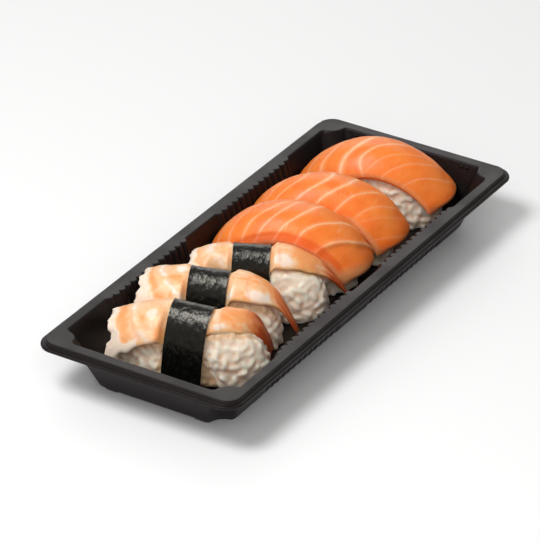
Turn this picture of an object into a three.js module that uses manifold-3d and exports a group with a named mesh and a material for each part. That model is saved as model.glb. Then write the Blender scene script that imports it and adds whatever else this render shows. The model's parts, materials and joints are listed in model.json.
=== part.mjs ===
// A shallow black takeaway tray holding six pieces of nigiri in one row: three topped with
// butterflied shrimp under a band of seaweed, and three topped with a slice of salmon.
// Millimetres, +Z up. X runs along the tray, and the origin is in the middle of its base.

import * as THREE from 'three';
import { mergeVertices } from 'three/addons/utils/BufferGeometryUtils.js';
import Module from 'manifold-3d';

const wasm = await Module();
wasm.setup();

// ---------------------------------------------------------------- driving dimensions

const SHEET = 0.5; // thickness of the tray's formed sheet
const TRAY_HEIGHT = 22.5; // surface it stands on to the top of the flange
const FOOT_DROP = 0.7; // how far the four corner feet stand below the base panel
const FLOOR = FOOT_DROP + SHEET; // top of the tray's floor

const FLANGE = { halfX: 106, halfY: 43.55, corner: 6 };
const CAVITY = { halfX: 101, halfY: 39 }; // inner edge of the flange
const BASE = { halfX: 92.6, halfY: 31.2 }; // outline of the base, inside the taper
const SCOOP = { radius: 7, blend: 0.9, steps: 6 }; // each cavity corner bulges inwards
// The teeth of the long walls: a tooth stands `tooth` in from the wall between the two parts of
// its pitch, with a notch between teeth, and fades to that share of its depth at the floor.
const FLUTES = { start: 11.4, pitch: 3.96, count: 13, notch: 0.5, tooth: 2.2, fade: 0.12,
  toothFrom: 0.25, toothTo: 0.7 };
const SHELF = { from: 62.9, to: 67, inset: 1.5, rise: 0.8, fall: 1.4 }; // the step after them
const FOOT = { length: 24, width: 14, inset: 0.6 }; // each corner foot
const LOCK_NUB = { y: 25.3, radius: 1.5, below: 2.2, stand: 0.12 }; // lid locks on the short walls

// The stepped lip in section, as [distance out from the flange, distance below its top]:
// the rounded edge of the flange, a riser, a narrow ledge and a rolled-down edge.
const LIP_OUTSIDE = [[-0.45, 0], [-0.12, 0.12], [0, 0.42], [0.08, 1.2], [0.3, 1.45], [1.25, 1.5],
  [1.7, 1.68], [1.9, 2.1], [1.9, 2.75]];
const LIP_INSIDE = [[1.4, 2.75], [1.38, 2.2], [1.15, 2.0], [-0.05, 1.95], [-0.4, 1.7], [-0.5, 0.5]];
const LIP_CORNER_STEPS = 7;

const GAP = 0.3; // clearance between pieces that touch
const RICE_Z = FLOOR + GAP;

// Faces along and across a topping, the room that is cut for it out of another topping, and
// the coarser room that is cut for it out of the rice. `swell` thickens a room, `margin` widens
// it, `reach` carries it on past the ends and `span` past the sides.
const TOPPING = { rows: 14, columns: 7, swell: 0, margin: 0, reach: 1, span: 1 };
const SNUG = { rows: 14, columns: 7, swell: GAP, margin: GAP, reach: 1.01, span: 1 };
const ROOM = { rows: 14, columns: 4, swell: 0.5, margin: 0.7, reach: 1.02, span: 1 };
const STRIP = { rows: 1, columns: 20, reach: 1, span: 1 };
const SUNK_STRIP = { rows: 1, columns: 22, reach: 1, span: 1.1 }; // and on below the floor

// The grains that stand out of a block of rice: their size, how far one may stand out, the
// most it leans, and how many places for one are tried, over which share of the height.
const GRAIN = { length: 6.2, width: 2.7, stand: 0.15, lean: 0.35, places: 30, low: 0.07, high: 0.93 };
const RICE_FORM = { power: 2.5, rings: 5, sides: 18 };

// Each piece of nigiri: `at` is its middle, `yaw` how far its far end leans towards -X.
// The rice is half as long and half as wide as halfLength and halfWidth say.
const SALMON_NIGIRI = [
  { name: '1', at: [14.6, 5.4], yaw: 20, seed: 11,
    rice: { halfLength: 27, halfWidth: 12, height: 29.4 },
    slice: { halfLength: 34.4, halfWidth: 18.6, rise: 30.0, foot: 3.8, endPower: 1.04,
      sidePower: 0.82, wrap: 0.83, nearEnd: 1.36, farEnd: 1.28, skew: -0.1, thickness: 5.6 } },
  { name: '2', at: [42.4, 4.9], yaw: 18, seed: 23,
    rice: { halfLength: 27, halfWidth: 12.4, height: 29.2 },
    slice: { halfLength: 34.5, halfWidth: 18.3, rise: 30.4, foot: 3.2, endPower: 1.01,
      sidePower: 0.87, wrap: 0.82, nearEnd: 1.32, farEnd: 1.28, skew: -0.04, thickness: 5.2 } },
  { name: '3', at: [78.6, 3.5], yaw: 20, seed: 37,
    rice: { halfLength: 27.5, halfWidth: 13.4, height: 29.2 },
    slice: { halfLength: 35.4, halfWidth: 18.1, rise: 29.4, foot: 4.1, endPower: 1.12,
      sidePower: 0.84, wrap: 0.81, nearEnd: 1.24, farEnd: 1.28, skew: 0, thickness: 5.2 } },
];

const SHRIMP_NIGIRI = [
  { name: '1', at: [-64, 1.8], yaw: 22, seed: 41,
    rice: { halfLength: 31, halfWidth: 13.4, height: 25.2 },
    shrimp: { head: 32.3, tail: 30.6, top: 29.2, headDrop: 7.3, tailDrop: 20.7, tailBend: 6.4,
      tailShift: 8.5, slope: 3.9, width: 1.09, waist: 0.16, droop: 1.02, headDroop: 0.3,
      thickness: 4.6 },
    band: { middle: -1.3, width: 16.5, top: 29.4, nearFoot: 16.4, farFoot: 11.2, turn: -9.5,
      dip: 0.36, flank: 1.33 } },
  { name: '2', at: [-38.6, 7.2], yaw: 18.4, seed: 53,
    rice: { halfLength: 27, halfWidth: 12.4, height: 25.6 },
    shrimp: { head: 30, tail: 33.5, top: 29.6, headDrop: 5.1, tailDrop: 24.1, tailBend: 3.9,
      tailShift: 2.4, slope: 0, width: 1.05, waist: 0, droop: 0.95, headDroop: 0,
      thickness: 4.6 },
    band: { middle: 1.6, width: 15.8, top: 29.9, nearFoot: 12.8, farFoot: 10.9, turn: 1.6,
      dip: 0.35, flank: 0.88 } },
  { name: '3', at: [-11, 3.1], yaw: 25, seed: 67,
    rice: { halfLength: 27, halfWidth: 12, height: 25.4 },
    shrimp: { head: 29.2, tail: 34, top: 29.1, headDrop: 6.6, tailDrop: 23, tailBend: 2.8,
      tailShift: 6.4, slope: 0, width: 0.82, waist: 0, droop: 0.9, headDroop: 0,
      thickness: 4.4 },
    band: { middle: 3.6, width: 15, top: 28.5, nearFoot: 12, farFoot: 11.4, turn: 1.5,
      dip: 0.1, flank: 0.83 } },
];

// How much a slice of salmon thins towards its ends and its sides.
const SLICE_THINS = { ends: 0.45, sides: 0.3 };

// The curl of a shrimp's section in radians to each side, how late its ends bend, and how much it
// thins towards its tail, its head and its sides.
const SHRIMP_FORM = { curl: 1.15, headBend: 2.2, shiftBend: 2.5 };
const SHRIMP_THINS = { tail: 0.55, head: 0.35, sides: 0.5 };

// Half width of a butterflied shrimp along its length, as [distance from the middle, half width].
const SHRIMP_WIDTHS = [[34, 10.5], [27, 13], [14, 14.4], [0, 13.4], [-12, 11], [-20, 8.6],
  [-26, 4.4], [-30, 2.6], [-35, 0.9]];

const NORI_THICKNESS = 0.5;
const BAND_ROOM = { reach: 8, sink: 30 }; // how far a band's room goes past it and below the floor
const RICE_ROOM_SINK = 1;

const MATERIALS = {
  tray: new THREE.MeshStandardMaterial({ color: 0x2b292b, roughness: 0.42, metalness: 0 }),
  rice: new THREE.MeshStandardMaterial({ color: 0xe9e2d3, roughness: 0.5, metalness: 0 }),
  salmon: new THREE.MeshStandardMaterial({ color: 0xf7893f, roughness: 0.4, metalness: 0 }),
  shrimp: new THREE.MeshStandardMaterial({ color: 0xf6bd8c, roughness: 0.42, metalness: 0 }),
  nori: new THREE.MeshStandardMaterial({ color: 0x161a17, roughness: 0.5, metalness: 0 }),
};

// ---------------------------------------------------------------- small helpers

const UP = new THREE.Vector3(0, 0, 1);
const ACROSS = new THREE.Vector3(1, 0, 0);
const CORNERS = [[1, 1], [1, -1], [-1, -1], [-1, 1]]; // the four corners' sides in X and Y

// A power that keeps its base's sign, as superellipses need.
const signedPower = (base, power) => Math.sign(base) * Math.abs(base) ** power;

// The same stream of draws for the same seed.
function seededRandom(seed) {
  let state = seed >>> 0;
  return () => {
    state = (state + 0x6d2b79f5) >>> 0;
    let mixed = Math.imul(state ^ (state >>> 15), 1 | state);
    mixed = (mixed + Math.imul(mixed ^ (mixed >>> 7), 61 | mixed)) ^ mixed;
    return ((mixed ^ (mixed >>> 14)) >>> 0) / 4294967296;
  };
}

// Gathers triangles and hands them over as one geometry with shared corners.
class Skin {
  constructor() {
    this.corners = [];
  }

  triangle(a, b, c) {
    this.corners.push(...a.toArray(), ...b.toArray(), ...c.toArray());
  }

  quad(a, b, c, d) {
    this.triangle(a, b, c);
    this.triangle(a, c, d);
  }

  // Joins two closed loops that have the same number of points. `crossed` splits each of its
  // faces along the other diagonal.
  strip(from, to, crossed = false) {
    from.forEach((point, i) => {
      const next = (i + 1) % from.length;
      if (crossed) this.quad(to[i], to[next], from[next], point);
      else this.quad(point, to[i], to[next], from[next]);
    });
  }

  // Fills a level loop, less any hole in it, with faces that look up or down.
  fill(contour, hole, up) {
    const points = hole ? [...contour, ...hole] : contour;
    const flat = (loop) => loop.map((point) => new THREE.Vector2(point.x, point.y));
    const faces = THREE.ShapeUtils.triangulateShape(flat(contour), hole ? [flat(hole)] : []);
    for (const face of faces) {
      const [a, b, c] = face.map((index) => points[index]);
      const turn = (b.x - a.x) * (c.y - a.y) - (b.y - a.y) * (c.x - a.x);
      if (turn > 0 === up) this.triangle(a, b, c);
      else this.triangle(a, c, b);
    }
  }

  geometry() {
    const geometry = new THREE.BufferGeometry();
    geometry.setAttribute('position', new THREE.Float32BufferAttribute(this.corners, 3));
    return mergeVertices(geometry, 1e-4);
  }
}

// ---------------------------------------------------------------- joining and cutting

function toSolid(geometry, matrix) {
  const bare = geometry.clone();
  if (matrix) bare.applyMatrix4(matrix);
  bare.deleteAttribute('normal');
  bare.deleteAttribute('uv');
  const merged = mergeVertices(bare, 1e-4);
  const mesh = new wasm.Mesh({
    numProp: 3,
    vertProperties: Float32Array.from(merged.attributes.position.array),
    triVerts: Uint32Array.from(merged.index.array),
  });
  return new wasm.Manifold(mesh);
}

function toGeometry(solid) {
  const mesh = solid.getMesh();
  const geometry = new THREE.BufferGeometry();
  geometry.setAttribute('position', new THREE.BufferAttribute(mesh.vertProperties, 3));
  geometry.setIndex(new THREE.BufferAttribute(mesh.triVerts, 1));
  return geometry;
}

// The largest body of a cut solid, without any loose scrap.
function largestBody(solid) {
  return solid.decompose().reduce((best, piece) => (piece.volume() > best.volume() ? piece : best));
}

// ---------------------------------------------------------------- tray

// One quarter of the wall's outline, from the middle of the long side round to the short side.
// `depth` scales the flutes, which are deepest at the rim.
function wallQuarter(halfX, halfY, depth) {
  const points = [];
  const { start, pitch, count, notch, tooth, toothFrom, toothTo } = FLUTES;
  for (let k = 0; k < count; k += 1) {
    const x = start + k * pitch;
    points.push([x, halfY - notch * depth]);
    points.push([x + toothFrom * pitch, halfY - tooth * depth]);
    points.push([x + toothTo * pitch, halfY - tooth * depth]);
  }
  points.push([SHELF.from, halfY - notch * depth]);
  points.push([SHELF.from + SHELF.rise, halfY - SHELF.inset * depth]);
  points.push([SHELF.to - SHELF.fall, halfY - SHELF.inset * depth]);
  points.push([SHELF.to, halfY]);
  points.push([halfX - SCOOP.radius - SCOOP.blend, halfY]);
  for (let k = 0; k <= SCOOP.steps; k += 1) {
    const inset = SCOOP.blend / SCOOP.radius;
    const angle = inset + (Math.PI / 2 - 2 * inset) * (k / SCOOP.steps);
    const x = halfX - SCOOP.radius * Math.cos(angle);
    points.push([x, halfY - SCOOP.radius * Math.sin(angle)]);
  }
  points.push([halfX, halfY - SCOOP.radius - SCOOP.blend]);
  return points;
}

// The whole outline of the wall at height z, counter-clockwise seen from above.
// `grow` moves it out by the sheet's thickness for the outer face.
function wallLoop(z, halfX, halfY, depth, grow) {
  const quarter = wallQuarter(halfX + grow, halfY + grow, depth);
  const back = [...quarter].reverse();
  const clockwise = [
    ...quarter,
    ...back.map(([x, y]) => [x, -y]),
    ...quarter.map(([x, y]) => [-x, -y]),
    ...back.map(([x, y]) => [-x, y]),
  ];
  return clockwise.reverse().map(([x, y]) => new THREE.Vector3(x, y, z));
}

// A rounded rectangle at height z that stands `out` beyond the flat of the flange.
function rimLoop(out, z) {
  const radius = FLANGE.corner + out;
  const middleX = FLANGE.halfX - FLANGE.corner;
  const middleY = FLANGE.halfY - FLANGE.corner;
  const loop = [];
  for (let corner = 0; corner < 4; corner += 1) {
    for (let k = 0; k <= LIP_CORNER_STEPS; k += 1) {
      const angle = (Math.PI / 2) * (corner + k / LIP_CORNER_STEPS);
      const sideX = corner === 0 || corner === 3 ? middleX : -middleX;
      const sideY = corner < 2 ? middleY : -middleY;
      loop.push(new THREE.Vector3(
        sideX + radius * Math.cos(angle), sideY + radius * Math.sin(angle), z));
    }
  }
  return loop;
}

function trayShell() {
  const skin = new Skin();
  const floorIn = wallLoop(FLOOR, BASE.halfX, BASE.halfY, FLUTES.fade, 0);
  const edgeIn = wallLoop(TRAY_HEIGHT, CAVITY.halfX, CAVITY.halfY, 1, 0);
  const edgeOut = wallLoop(TRAY_HEIGHT - SHEET, CAVITY.halfX, CAVITY.halfY, 1, SHEET);
  const baseOut = wallLoop(FOOT_DROP, BASE.halfX, BASE.halfY, FLUTES.fade, SHEET);
  const lip = [...LIP_OUTSIDE, ...LIP_INSIDE].map(([out, down]) => rimLoop(out, TRAY_HEIGHT - down));

  skin.fill(floorIn, null, true);
  skin.strip(floorIn, edgeIn);
  skin.fill(lip[0], edgeIn, true);
  for (let k = 1; k < lip.length; k += 1) skin.strip(lip[k - 1], lip[k]);
  skin.fill(lip[lip.length - 1], edgeOut, false);
  skin.strip(edgeOut, baseOut, true);
  skin.fill(baseOut, null, false);
  return toSolid(skin.geometry());
}

// The base's outline as a thin plate, cut down to the four corners that it stands on.
function cornerFeet() {
  const skin = new Skin();
  const lower = wallLoop(0, BASE.halfX, BASE.halfY, FLUTES.fade, -FOOT.inset);
  const upper = wallLoop(FOOT_DROP + SHEET / 2, BASE.halfX, BASE.halfY, FLUTES.fade, -FOOT.inset);
  skin.fill(upper, null, true);
  skin.strip(upper, lower);
  skin.fill(lower, null, false);
  const plate = toSolid(skin.geometry());
  const block = new THREE.BoxGeometry(FOOT.length, FOOT.width, 4 * FOOT_DROP);
  const middleX = BASE.halfX - FOOT.length / 2;
  const middleY = BASE.halfY - FOOT.width / 2;
  return CORNERS.map(([sideX, sideY]) => {
    const place = new THREE.Matrix4().makeTranslation(sideX * middleX, sideY * middleY, FOOT_DROP);
    return plate.intersect(toSolid(block, place));
  });
}

// Small round lid locks that stand out of the short walls just under the flange.
function lockNubs() {
  const ball = new THREE.SphereGeometry(LOCK_NUB.radius, 10, 6);
  const taper = (CAVITY.halfX - BASE.halfX) * (LOCK_NUB.below / TRAY_HEIGHT);
  const x = CAVITY.halfX - taper + LOCK_NUB.stand;
  return CORNERS.map(([sideX, sideY]) => {
    const place = new THREE.Matrix4().makeTranslation(
      sideX * x, sideY * LOCK_NUB.y, TRAY_HEIGHT - LOCK_NUB.below);
    return toSolid(ball, place);
  });
}

function trayGeometry() {
  const parts = [...cornerFeet(), ...lockNubs()];
  return toGeometry(parts.reduce((whole, piece) => whole.add(piece), trayShell()));
}

// The space that the food may fill: inside the walls, and over the flange above the rim.
function foodRoom() {
  const skin = new Skin();
  const [low, rim, high] = [FLOOR + GAP / 2, TRAY_HEIGHT + GAP, 3 * TRAY_HEIGHT];
  const floor = wallLoop(low, BASE.halfX - GAP, BASE.halfY - GAP, FLUTES.fade, 0);
  const edge = wallLoop(rim, CAVITY.halfX - GAP, CAVITY.halfY - GAP, 1, 0);
  skin.fill(floor, null, false);
  skin.strip(edge, floor, true);
  skin.fill(rimLoop(0, rim), edge, false);
  skin.strip(rimLoop(0, high), rimLoop(0, rim));
  skin.fill(rimLoop(0, high), null, true);
  return toSolid(skin.geometry());
}

// ---------------------------------------------------------------- draped sheets

// The closed solid between an upper and a lower face, each given by a function of s along it
// and t across it, both from -1 to 1.
function sheetSolid(upper, lower, { rows, columns, reach, span }) {
  const grid = [];
  for (let i = 0; i <= rows; i += 1) {
    const s = reach * ((2 * i) / rows - 1);
    const row = [];
    for (let j = 0; j <= columns; j += 1) {
      const t = span * ((2 * j) / columns - 1);
      row.push({ upper: upper(s, t), lower: lower(s, t) });
    }
    grid.push(row);
  }
  const skin = new Skin();
  for (let i = 0; i < rows; i += 1) {
    for (let j = 0; j < columns; j += 1) {
      const [a, b] = [grid[i][j], grid[i + 1][j]];
      const [c, d] = [grid[i + 1][j + 1], grid[i][j + 1]];
      skin.quad(a.upper, d.upper, c.upper, b.upper);
      skin.quad(a.lower, b.lower, c.lower, d.lower);
    }
  }
  const edge = (a, b) => skin.quad(a.upper, b.upper, b.lower, a.lower);
  for (let i = 0; i < rows; i += 1) {
    edge(grid[i][0], grid[i + 1][0]);
    edge(grid[i + 1][columns], grid[i][columns]);
  }
  for (let j = 0; j < columns; j += 1) {
    edge(grid[0][j + 1], grid[0][j]);
    edge(grid[rows][j], grid[rows][j + 1]);
  }
  return toSolid(skin.geometry());
}

// A sheet that lies depth(s, t) deep under face(s, t).
function thickSheet(face, depth, detail) {
  const step = 1e-3;
  const inwards = (s, t) => {
    const along = face(s + step, t).sub(face(s - step, t));
    const across = face(s, t + step).sub(face(s, t - step));
    return along.cross(across).normalize();
  };
  const upper = (s, t) => face(s, t).addScaledVector(inwards(s, t), -detail.swell);
  const lower = (s, t) => face(s, t).addScaledVector(inwards(s, t), depth(s, t) + detail.swell);
  return sheetSolid(upper, lower, detail);
}

// A slice of salmon: part of a superellipsoid, so it bends down over the rice at both ends
// and a little at its sides. Y is its length, and its near end is at -Y.
function salmonSolid(slice, detail) {
  const face = (s, t) => {
    const angle = s < 0 ? s * slice.nearEnd : s * slice.farEnd;
    const side = t * slice.wrap;
    const crown = signedPower(Math.cos(side), slice.sidePower);
    const halfWidth = slice.halfWidth + detail.margin;
    const x = halfWidth * signedPower(Math.sin(side), slice.sidePower);
    const y = slice.halfLength * crown * signedPower(Math.sin(angle), slice.endPower);
    const z = slice.foot + slice.rise * crown * signedPower(Math.cos(angle), slice.endPower);
    return new THREE.Vector3(x, y + slice.skew * x, z);
  };
  const depth = (s, t) => slice.thickness
    * (1 - SLICE_THINS.ends * s ** 4) * (1 - SLICE_THINS.sides * t ** 4);
  return thickSheet(face, depth, detail);
}

// ---------------------------------------------------------------- shrimp and seaweed

// A butterflied shrimp: broad at the head end (+Y), narrowing to a pointed tail that bends
// down over the rice. Its side edges hang lower than its back.
function shrimpSolid(shrimp, detail) {
  const widths = new THREE.SplineCurve(SHRIMP_WIDTHS.map(([y, half]) => new THREE.Vector2(y, half)));
  const samples = widths.getPoints(80);
  const halfWidth = (y) => {
    const after = samples.findIndex((point) => point.x <= y);
    if (after <= 0) return samples[0].y;
    const [a, b] = [samples[after - 1], samples[after]];
    return THREE.MathUtils.lerp(b.y, a.y, (y - b.x) / (a.x - b.x));
  };
  const face = (s, t) => {
    const y = s < 0 ? s * shrimp.tail : s * shrimp.head;
    const towardsTail = Math.max(-y, 0) / shrimp.tail;
    const towardsHead = Math.max(y, 0) / shrimp.head;
    const waist = 1 - 4 * shrimp.waist * towardsTail * (1 - towardsTail);
    const half = halfWidth(y) * shrimp.width * waist + detail.margin;
    const angle = t * SHRIMP_FORM.curl;
    const x = half * Math.sin(angle) + shrimp.tailShift * towardsTail ** SHRIMP_FORM.shiftBend;
    const back = shrimp.top - shrimp.tailDrop * towardsTail ** shrimp.tailBend
      - shrimp.slope * towardsTail - shrimp.headDrop * towardsHead ** SHRIMP_FORM.headBend;
    const droop = (shrimp.droop + shrimp.headDroop * towardsHead) * half * (1 - Math.cos(angle));
    return new THREE.Vector3(x, y, back - droop);
  };
  const depth = (s, t) => {
    const along = s < 0 ? 1 - SHRIMP_THINS.tail * (-s) ** 3 : 1 - SHRIMP_THINS.head * s ** 3;
    return shrimp.thickness * along * (1 - SHRIMP_THINS.sides * t ** 4);
  };
  return thickSheet(face, depth, detail);
}

// A band of seaweed over the topping and down both sides of the rice to the floor, and
// straight on below it where t passes 1.
function noriFace(band, spread) {
  return (s, t) => {
    const angle = (THREE.MathUtils.clamp(t, -1, 1) * Math.PI) / 2;
    const below = BAND_ROOM.sink * Math.max(Math.abs(t) - 1, 0);
    const foot = t < 0 ? band.nearFoot : band.farFoot;
    const x = (foot + spread) * Math.sin(angle);
    const z = (band.top + spread + band.dip * s) * signedPower(Math.cos(angle), band.flank);
    const turned = new THREE.Vector3(x, (s * band.width) / 2, z - below);
    turned.applyAxisAngle(UP, THREE.MathUtils.degToRad(band.turn));
    turned.y += band.middle;
    return turned;
  };
}

const noriSolid = (band) => sheetSolid(
  noriFace(band, 0), noriFace(band, -NORI_THICKNESS), STRIP);

// A room that reaches further out, in and along than the band does, and down below the floor.
function noriRoom(band, outside, inside) {
  const longer = { ...band, width: band.width + 2 * GAP };
  return sheetSolid(
    noriFace(longer, outside), noriFace(longer, -NORI_THICKNESS - inside), SUNK_STRIP);
}

// ---------------------------------------------------------------- rice

// The pressed block of rice: a superellipsoid with a flat bottom.
function riceCore(rice) {
  const { power, rings, sides } = RICE_FORM;
  const level = (k) => {
    const rise = (Math.PI / 2) * (k / rings);
    const out = Math.cos(rise) ** (2 / power);
    const z = rice.height * Math.sin(rise) ** (2 / power);
    const loop = [];
    for (let i = 0; i < sides; i += 1) {
      const angle = (2 * Math.PI * i) / sides;
      const x = rice.halfWidth * out * signedPower(Math.cos(angle), 2 / power);
      const y = rice.halfLength * out * signedPower(Math.sin(angle), 2 / power);
      loop.push(new THREE.Vector3(x, y, z));
    }
    return loop;
  };
  const skin = new Skin();
  const peak = new THREE.Vector3(0, 0, rice.height);
  skin.fill(level(0), null, false);
  for (let k = 1; k < rings; k += 1) skin.strip(level(k), level(k - 1));
  const last = level(rings - 1);
  last.forEach((point, i) => skin.triangle(point, last[(i + 1) % sides], peak));
  return toSolid(skin.geometry());
}

// The room that a block takes with its grains, from a little below the floor.
function riceRoom(rice) {
  return riceCore({
    halfLength: rice.halfLength + GRAIN.width / 2,
    halfWidth: rice.halfWidth + GRAIN.width / 2,
    height: rice.height + GRAIN.width / 2 + RICE_ROOM_SINK,
  }).translate([0, 0, -RICE_ROOM_SINK]);
}

// A point on the block's surface and the direction out of it there.
function onBlock(rice, angle, rise) {
  const { power } = RICE_FORM;
  const out = Math.cos(rise) ** (2 / power);
  const size = new THREE.Vector3(rice.halfWidth, rice.halfLength, rice.height);
  const unit = new THREE.Vector3(
    out * signedPower(Math.cos(angle), 2 / power),
    out * signedPower(Math.sin(angle), 2 / power),
    Math.sin(rise) ** (2 / power));
  const slope = (value) => signedPower(value, power - 1);
  const outward = new THREE.Vector3(slope(unit.x), slope(unit.y), slope(unit.z)).divide(size);
  return { spot: unit.multiply(size), outward: outward.normalize() };
}

// Grains lying on the block's sides, spread evenly.
function riceGrains(rice, seed) {
  const random = seededRandom(seed);
  const shape = new THREE.SphereGeometry(0.5, 5, 3);
  const goldenAngle = Math.PI * (3 - Math.sqrt(5));
  const grains = [];
  for (let k = 0; k < GRAIN.places; k += 1) {
    const share = THREE.MathUtils.lerp(GRAIN.low, GRAIN.high, (k + 0.5) / GRAIN.places);
    const { spot, outward } = onBlock(rice, k * goldenAngle, Math.asin(share));
    const spin = new THREE.Quaternion().setFromAxisAngle(UP, random() * Math.PI);
    const lean = new THREE.Quaternion().setFromAxisAngle(ACROSS, (2 * random() - 1) * GRAIN.lean);
    const turn = new THREE.Quaternion().setFromUnitVectors(UP, outward).multiply(spin).multiply(lean);
    const length = GRAIN.length * THREE.MathUtils.lerp(0.88, 1.12, random());
    spot.addScaledVector(outward, GRAIN.width * GRAIN.stand * random());
    const size = new THREE.Vector3(GRAIN.width, length, GRAIN.width);
    grains.push(toSolid(shape, new THREE.Matrix4().compose(spot, turn, size)));
  }
  return grains;
}

// ---------------------------------------------------------------- assembly

function holder({ at, yaw }) {
  const group = new THREE.Group();
  group.position.set(at[0], at[1], RICE_Z);
  group.rotation.z = THREE.MathUtils.degToRad(yaw);
  group.updateMatrix();
  return group;
}

// A solid carried from a group's frame to the tray's, and back.
const placed = (solid, group) => solid.transform(group.matrix.elements);
const unplaced = (solid, group) => solid.transform(group.matrix.clone().invert().elements);

// Adds a solid that lies in the tray's frame to a piece's group.
function addMesh(group, name, solid, material) {
  const mesh = new THREE.Mesh(toGeometry(unplaced(solid, group)), material);
  mesh.name = name;
  group.add(mesh);
}

// Each piece's solids in the tray's frame, with the room that its topping and band take.
function layOut(item, shape, band) {
  const group = holder(item);
  return {
    item,
    group,
    topping: placed(shape(TOPPING), group),
    snugRoom: placed(shape(SNUG), group),
    room: placed(shape(ROOM), group),
    band: band && placed(noriSolid(band), group),
    bandRoom: band && placed(noriRoom(band, BAND_ROOM.reach, GAP), group),
    bandArch: band && placed(noriRoom(band, GAP, BAND_ROOM.reach), group),
  };
}

const shrimpPieces = SHRIMP_NIGIRI.map((item) => ({
  kind: 'shrimp',
  ...layOut(item, (detail) => shrimpSolid(item.shrimp, detail), item.band),
}));
const salmonPieces = SALMON_NIGIRI.map((item) => ({
  kind: 'salmon',
  ...layOut(item, (detail) => salmonSolid(item.slice, detail)),
}));
const pieces = [...salmonPieces, ...shrimpPieces];

// A solid less each of the rooms that it meets.
function carve(solid, rooms) {
  return rooms.filter((room) => room && !solid.intersect(room).isEmpty())
    .reduce((rest, room) => rest.subtract(room), solid);
}

// A solid kept clear of the tray.
function fitted(solid, inside) {
  return solid.subtract(inside).isEmpty() ? solid : solid.intersect(inside);
}

const tray = new THREE.Mesh(trayGeometry(), MATERIALS.tray);
tray.name = 'tray';

const part = new THREE.Group();
part.add(tray);

const inside = foodRoom();
const taken = [];
for (const piece of pieces) {
  const { item, kind, group } = piece;
  const others = pieces.filter((other) => other !== piece);
  const topping = carve(piece.topping, [piece.bandRoom, ...taken]);
  addMesh(group, `${kind}_${item.name}`, largestBody(fitted(topping, inside)), MATERIALS[kind]);
  taken.push(piece.snugRoom);
  if (piece.band) {
    addMesh(group, `nori_band_${item.name}`, largestBody(fitted(piece.band, inside)), MATERIALS.nori);
  }

  const rooms = [piece.room, piece.bandRoom, ...others.map((other) => other.room),
    ...others.map((other) => other.bandArch), ...pieces.map((other) => other.riceRoom)];
  const core = carve(placed(riceCore(item.rice), group), rooms);
  const outside = (grain) => rooms.every((room) => !room || grain.intersect(room).isEmpty())
    && grain.subtract(inside).isEmpty();
  const grains = riceGrains(item.rice, item.seed).map((grain) => placed(grain, group));
  const rice = grains.filter(outside).reduce((whole, grain) => whole.add(grain), core);
  const body = largestBody(fitted(rice, inside));
  addMesh(group, `rice_${kind}_${item.name}`, body, MATERIALS.rice);
  piece.riceRoom = placed(riceRoom(item.rice), group);
  part.add(group);
}

export default part;
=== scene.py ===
"""Looks of a takeaway tray with six pieces of nigiri: three shrimp under seaweed, three salmon.

Lengths are in millimetres, turned into metres where a mesh is made. Each piece of nigiri has its
own frame: X across it, Y along it towards its far end, Z up from the bottom of its rice.
"""

import json
import math
from collections import namedtuple

import bpy
import numpy as np
from bpy.props import FloatProperty, FloatVectorProperty, PointerProperty
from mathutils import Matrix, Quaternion, Vector
from mathutils.bvhtree import BVHTree
from mathutils.geometry import tessellate_polygon

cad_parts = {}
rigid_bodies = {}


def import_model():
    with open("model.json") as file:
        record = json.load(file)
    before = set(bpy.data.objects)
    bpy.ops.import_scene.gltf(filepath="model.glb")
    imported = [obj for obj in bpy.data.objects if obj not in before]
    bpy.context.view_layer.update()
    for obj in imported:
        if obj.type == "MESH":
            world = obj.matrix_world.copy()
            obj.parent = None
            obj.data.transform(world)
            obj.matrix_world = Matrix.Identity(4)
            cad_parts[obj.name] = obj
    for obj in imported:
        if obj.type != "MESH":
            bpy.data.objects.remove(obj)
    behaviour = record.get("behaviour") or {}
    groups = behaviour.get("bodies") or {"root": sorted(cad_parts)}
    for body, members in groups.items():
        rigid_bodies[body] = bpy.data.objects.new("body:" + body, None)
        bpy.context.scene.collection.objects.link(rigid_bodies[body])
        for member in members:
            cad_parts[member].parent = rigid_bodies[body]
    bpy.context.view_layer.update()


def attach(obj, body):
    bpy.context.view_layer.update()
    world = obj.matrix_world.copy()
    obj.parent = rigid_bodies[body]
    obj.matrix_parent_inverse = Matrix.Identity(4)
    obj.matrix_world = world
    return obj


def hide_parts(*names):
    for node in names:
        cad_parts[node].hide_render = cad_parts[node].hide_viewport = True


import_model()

bl_info = {
    "name": "Nigiri Tray",
    "version": (1, 0, 0),
    "blender": (4, 5, 0),
    "location": "View3D > Sidebar > Nigiri",
    "description": "Dresses a takeaway tray and its row of nigiri",
    "category": "Add Mesh",
}

MM = 0.001

# ---------------------------------------------------------------- sizes shared with the solids

SHEET = 0.5
TRAY_HEIGHT = 22.5
FOOT_DROP = 0.7
FLOOR = FOOT_DROP + SHEET
GAP = 0.3
RICE_Z = FLOOR + GAP

FLANGE = {"half_x": 106, "half_y": 43.55, "corner": 6}
CAVITY = {"half_x": 101, "half_y": 39}
BASE = {"half_x": 92.6, "half_y": 31.2}
SCOOP = {"radius": 7, "blend": 0.9, "steps": 14}
FLUTES = {"start": 11.4, "pitch": 3.96, "count": 13, "notch": 0.5, "tooth": 2.2, "fade": 0.12,
          "tooth_from": 0.25, "tooth_to": 0.7}
SHELF = {"from": 62.9, "to": 67, "inset": 1.5, "rise": 0.8, "fall": 1.4}
FILLETS = {"inside": (2.6, 0.7), "outside": (2.0, 0.3)}
CURVES = {"lip": 0.12, "foot": 0.9}
FOOT = {"length": 24, "width": 14, "inset": 0.6}
FOOT_LEVELS = [(0.94, 0), (0.97, 0), (0.985, 0.08), (0.995, 0.25), (1, 0.9)]
LOCK = {"radius": 0.95, "below": 1.9, "apart": 1.25, "middle": 25.3, "stands": 0.3}
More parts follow.
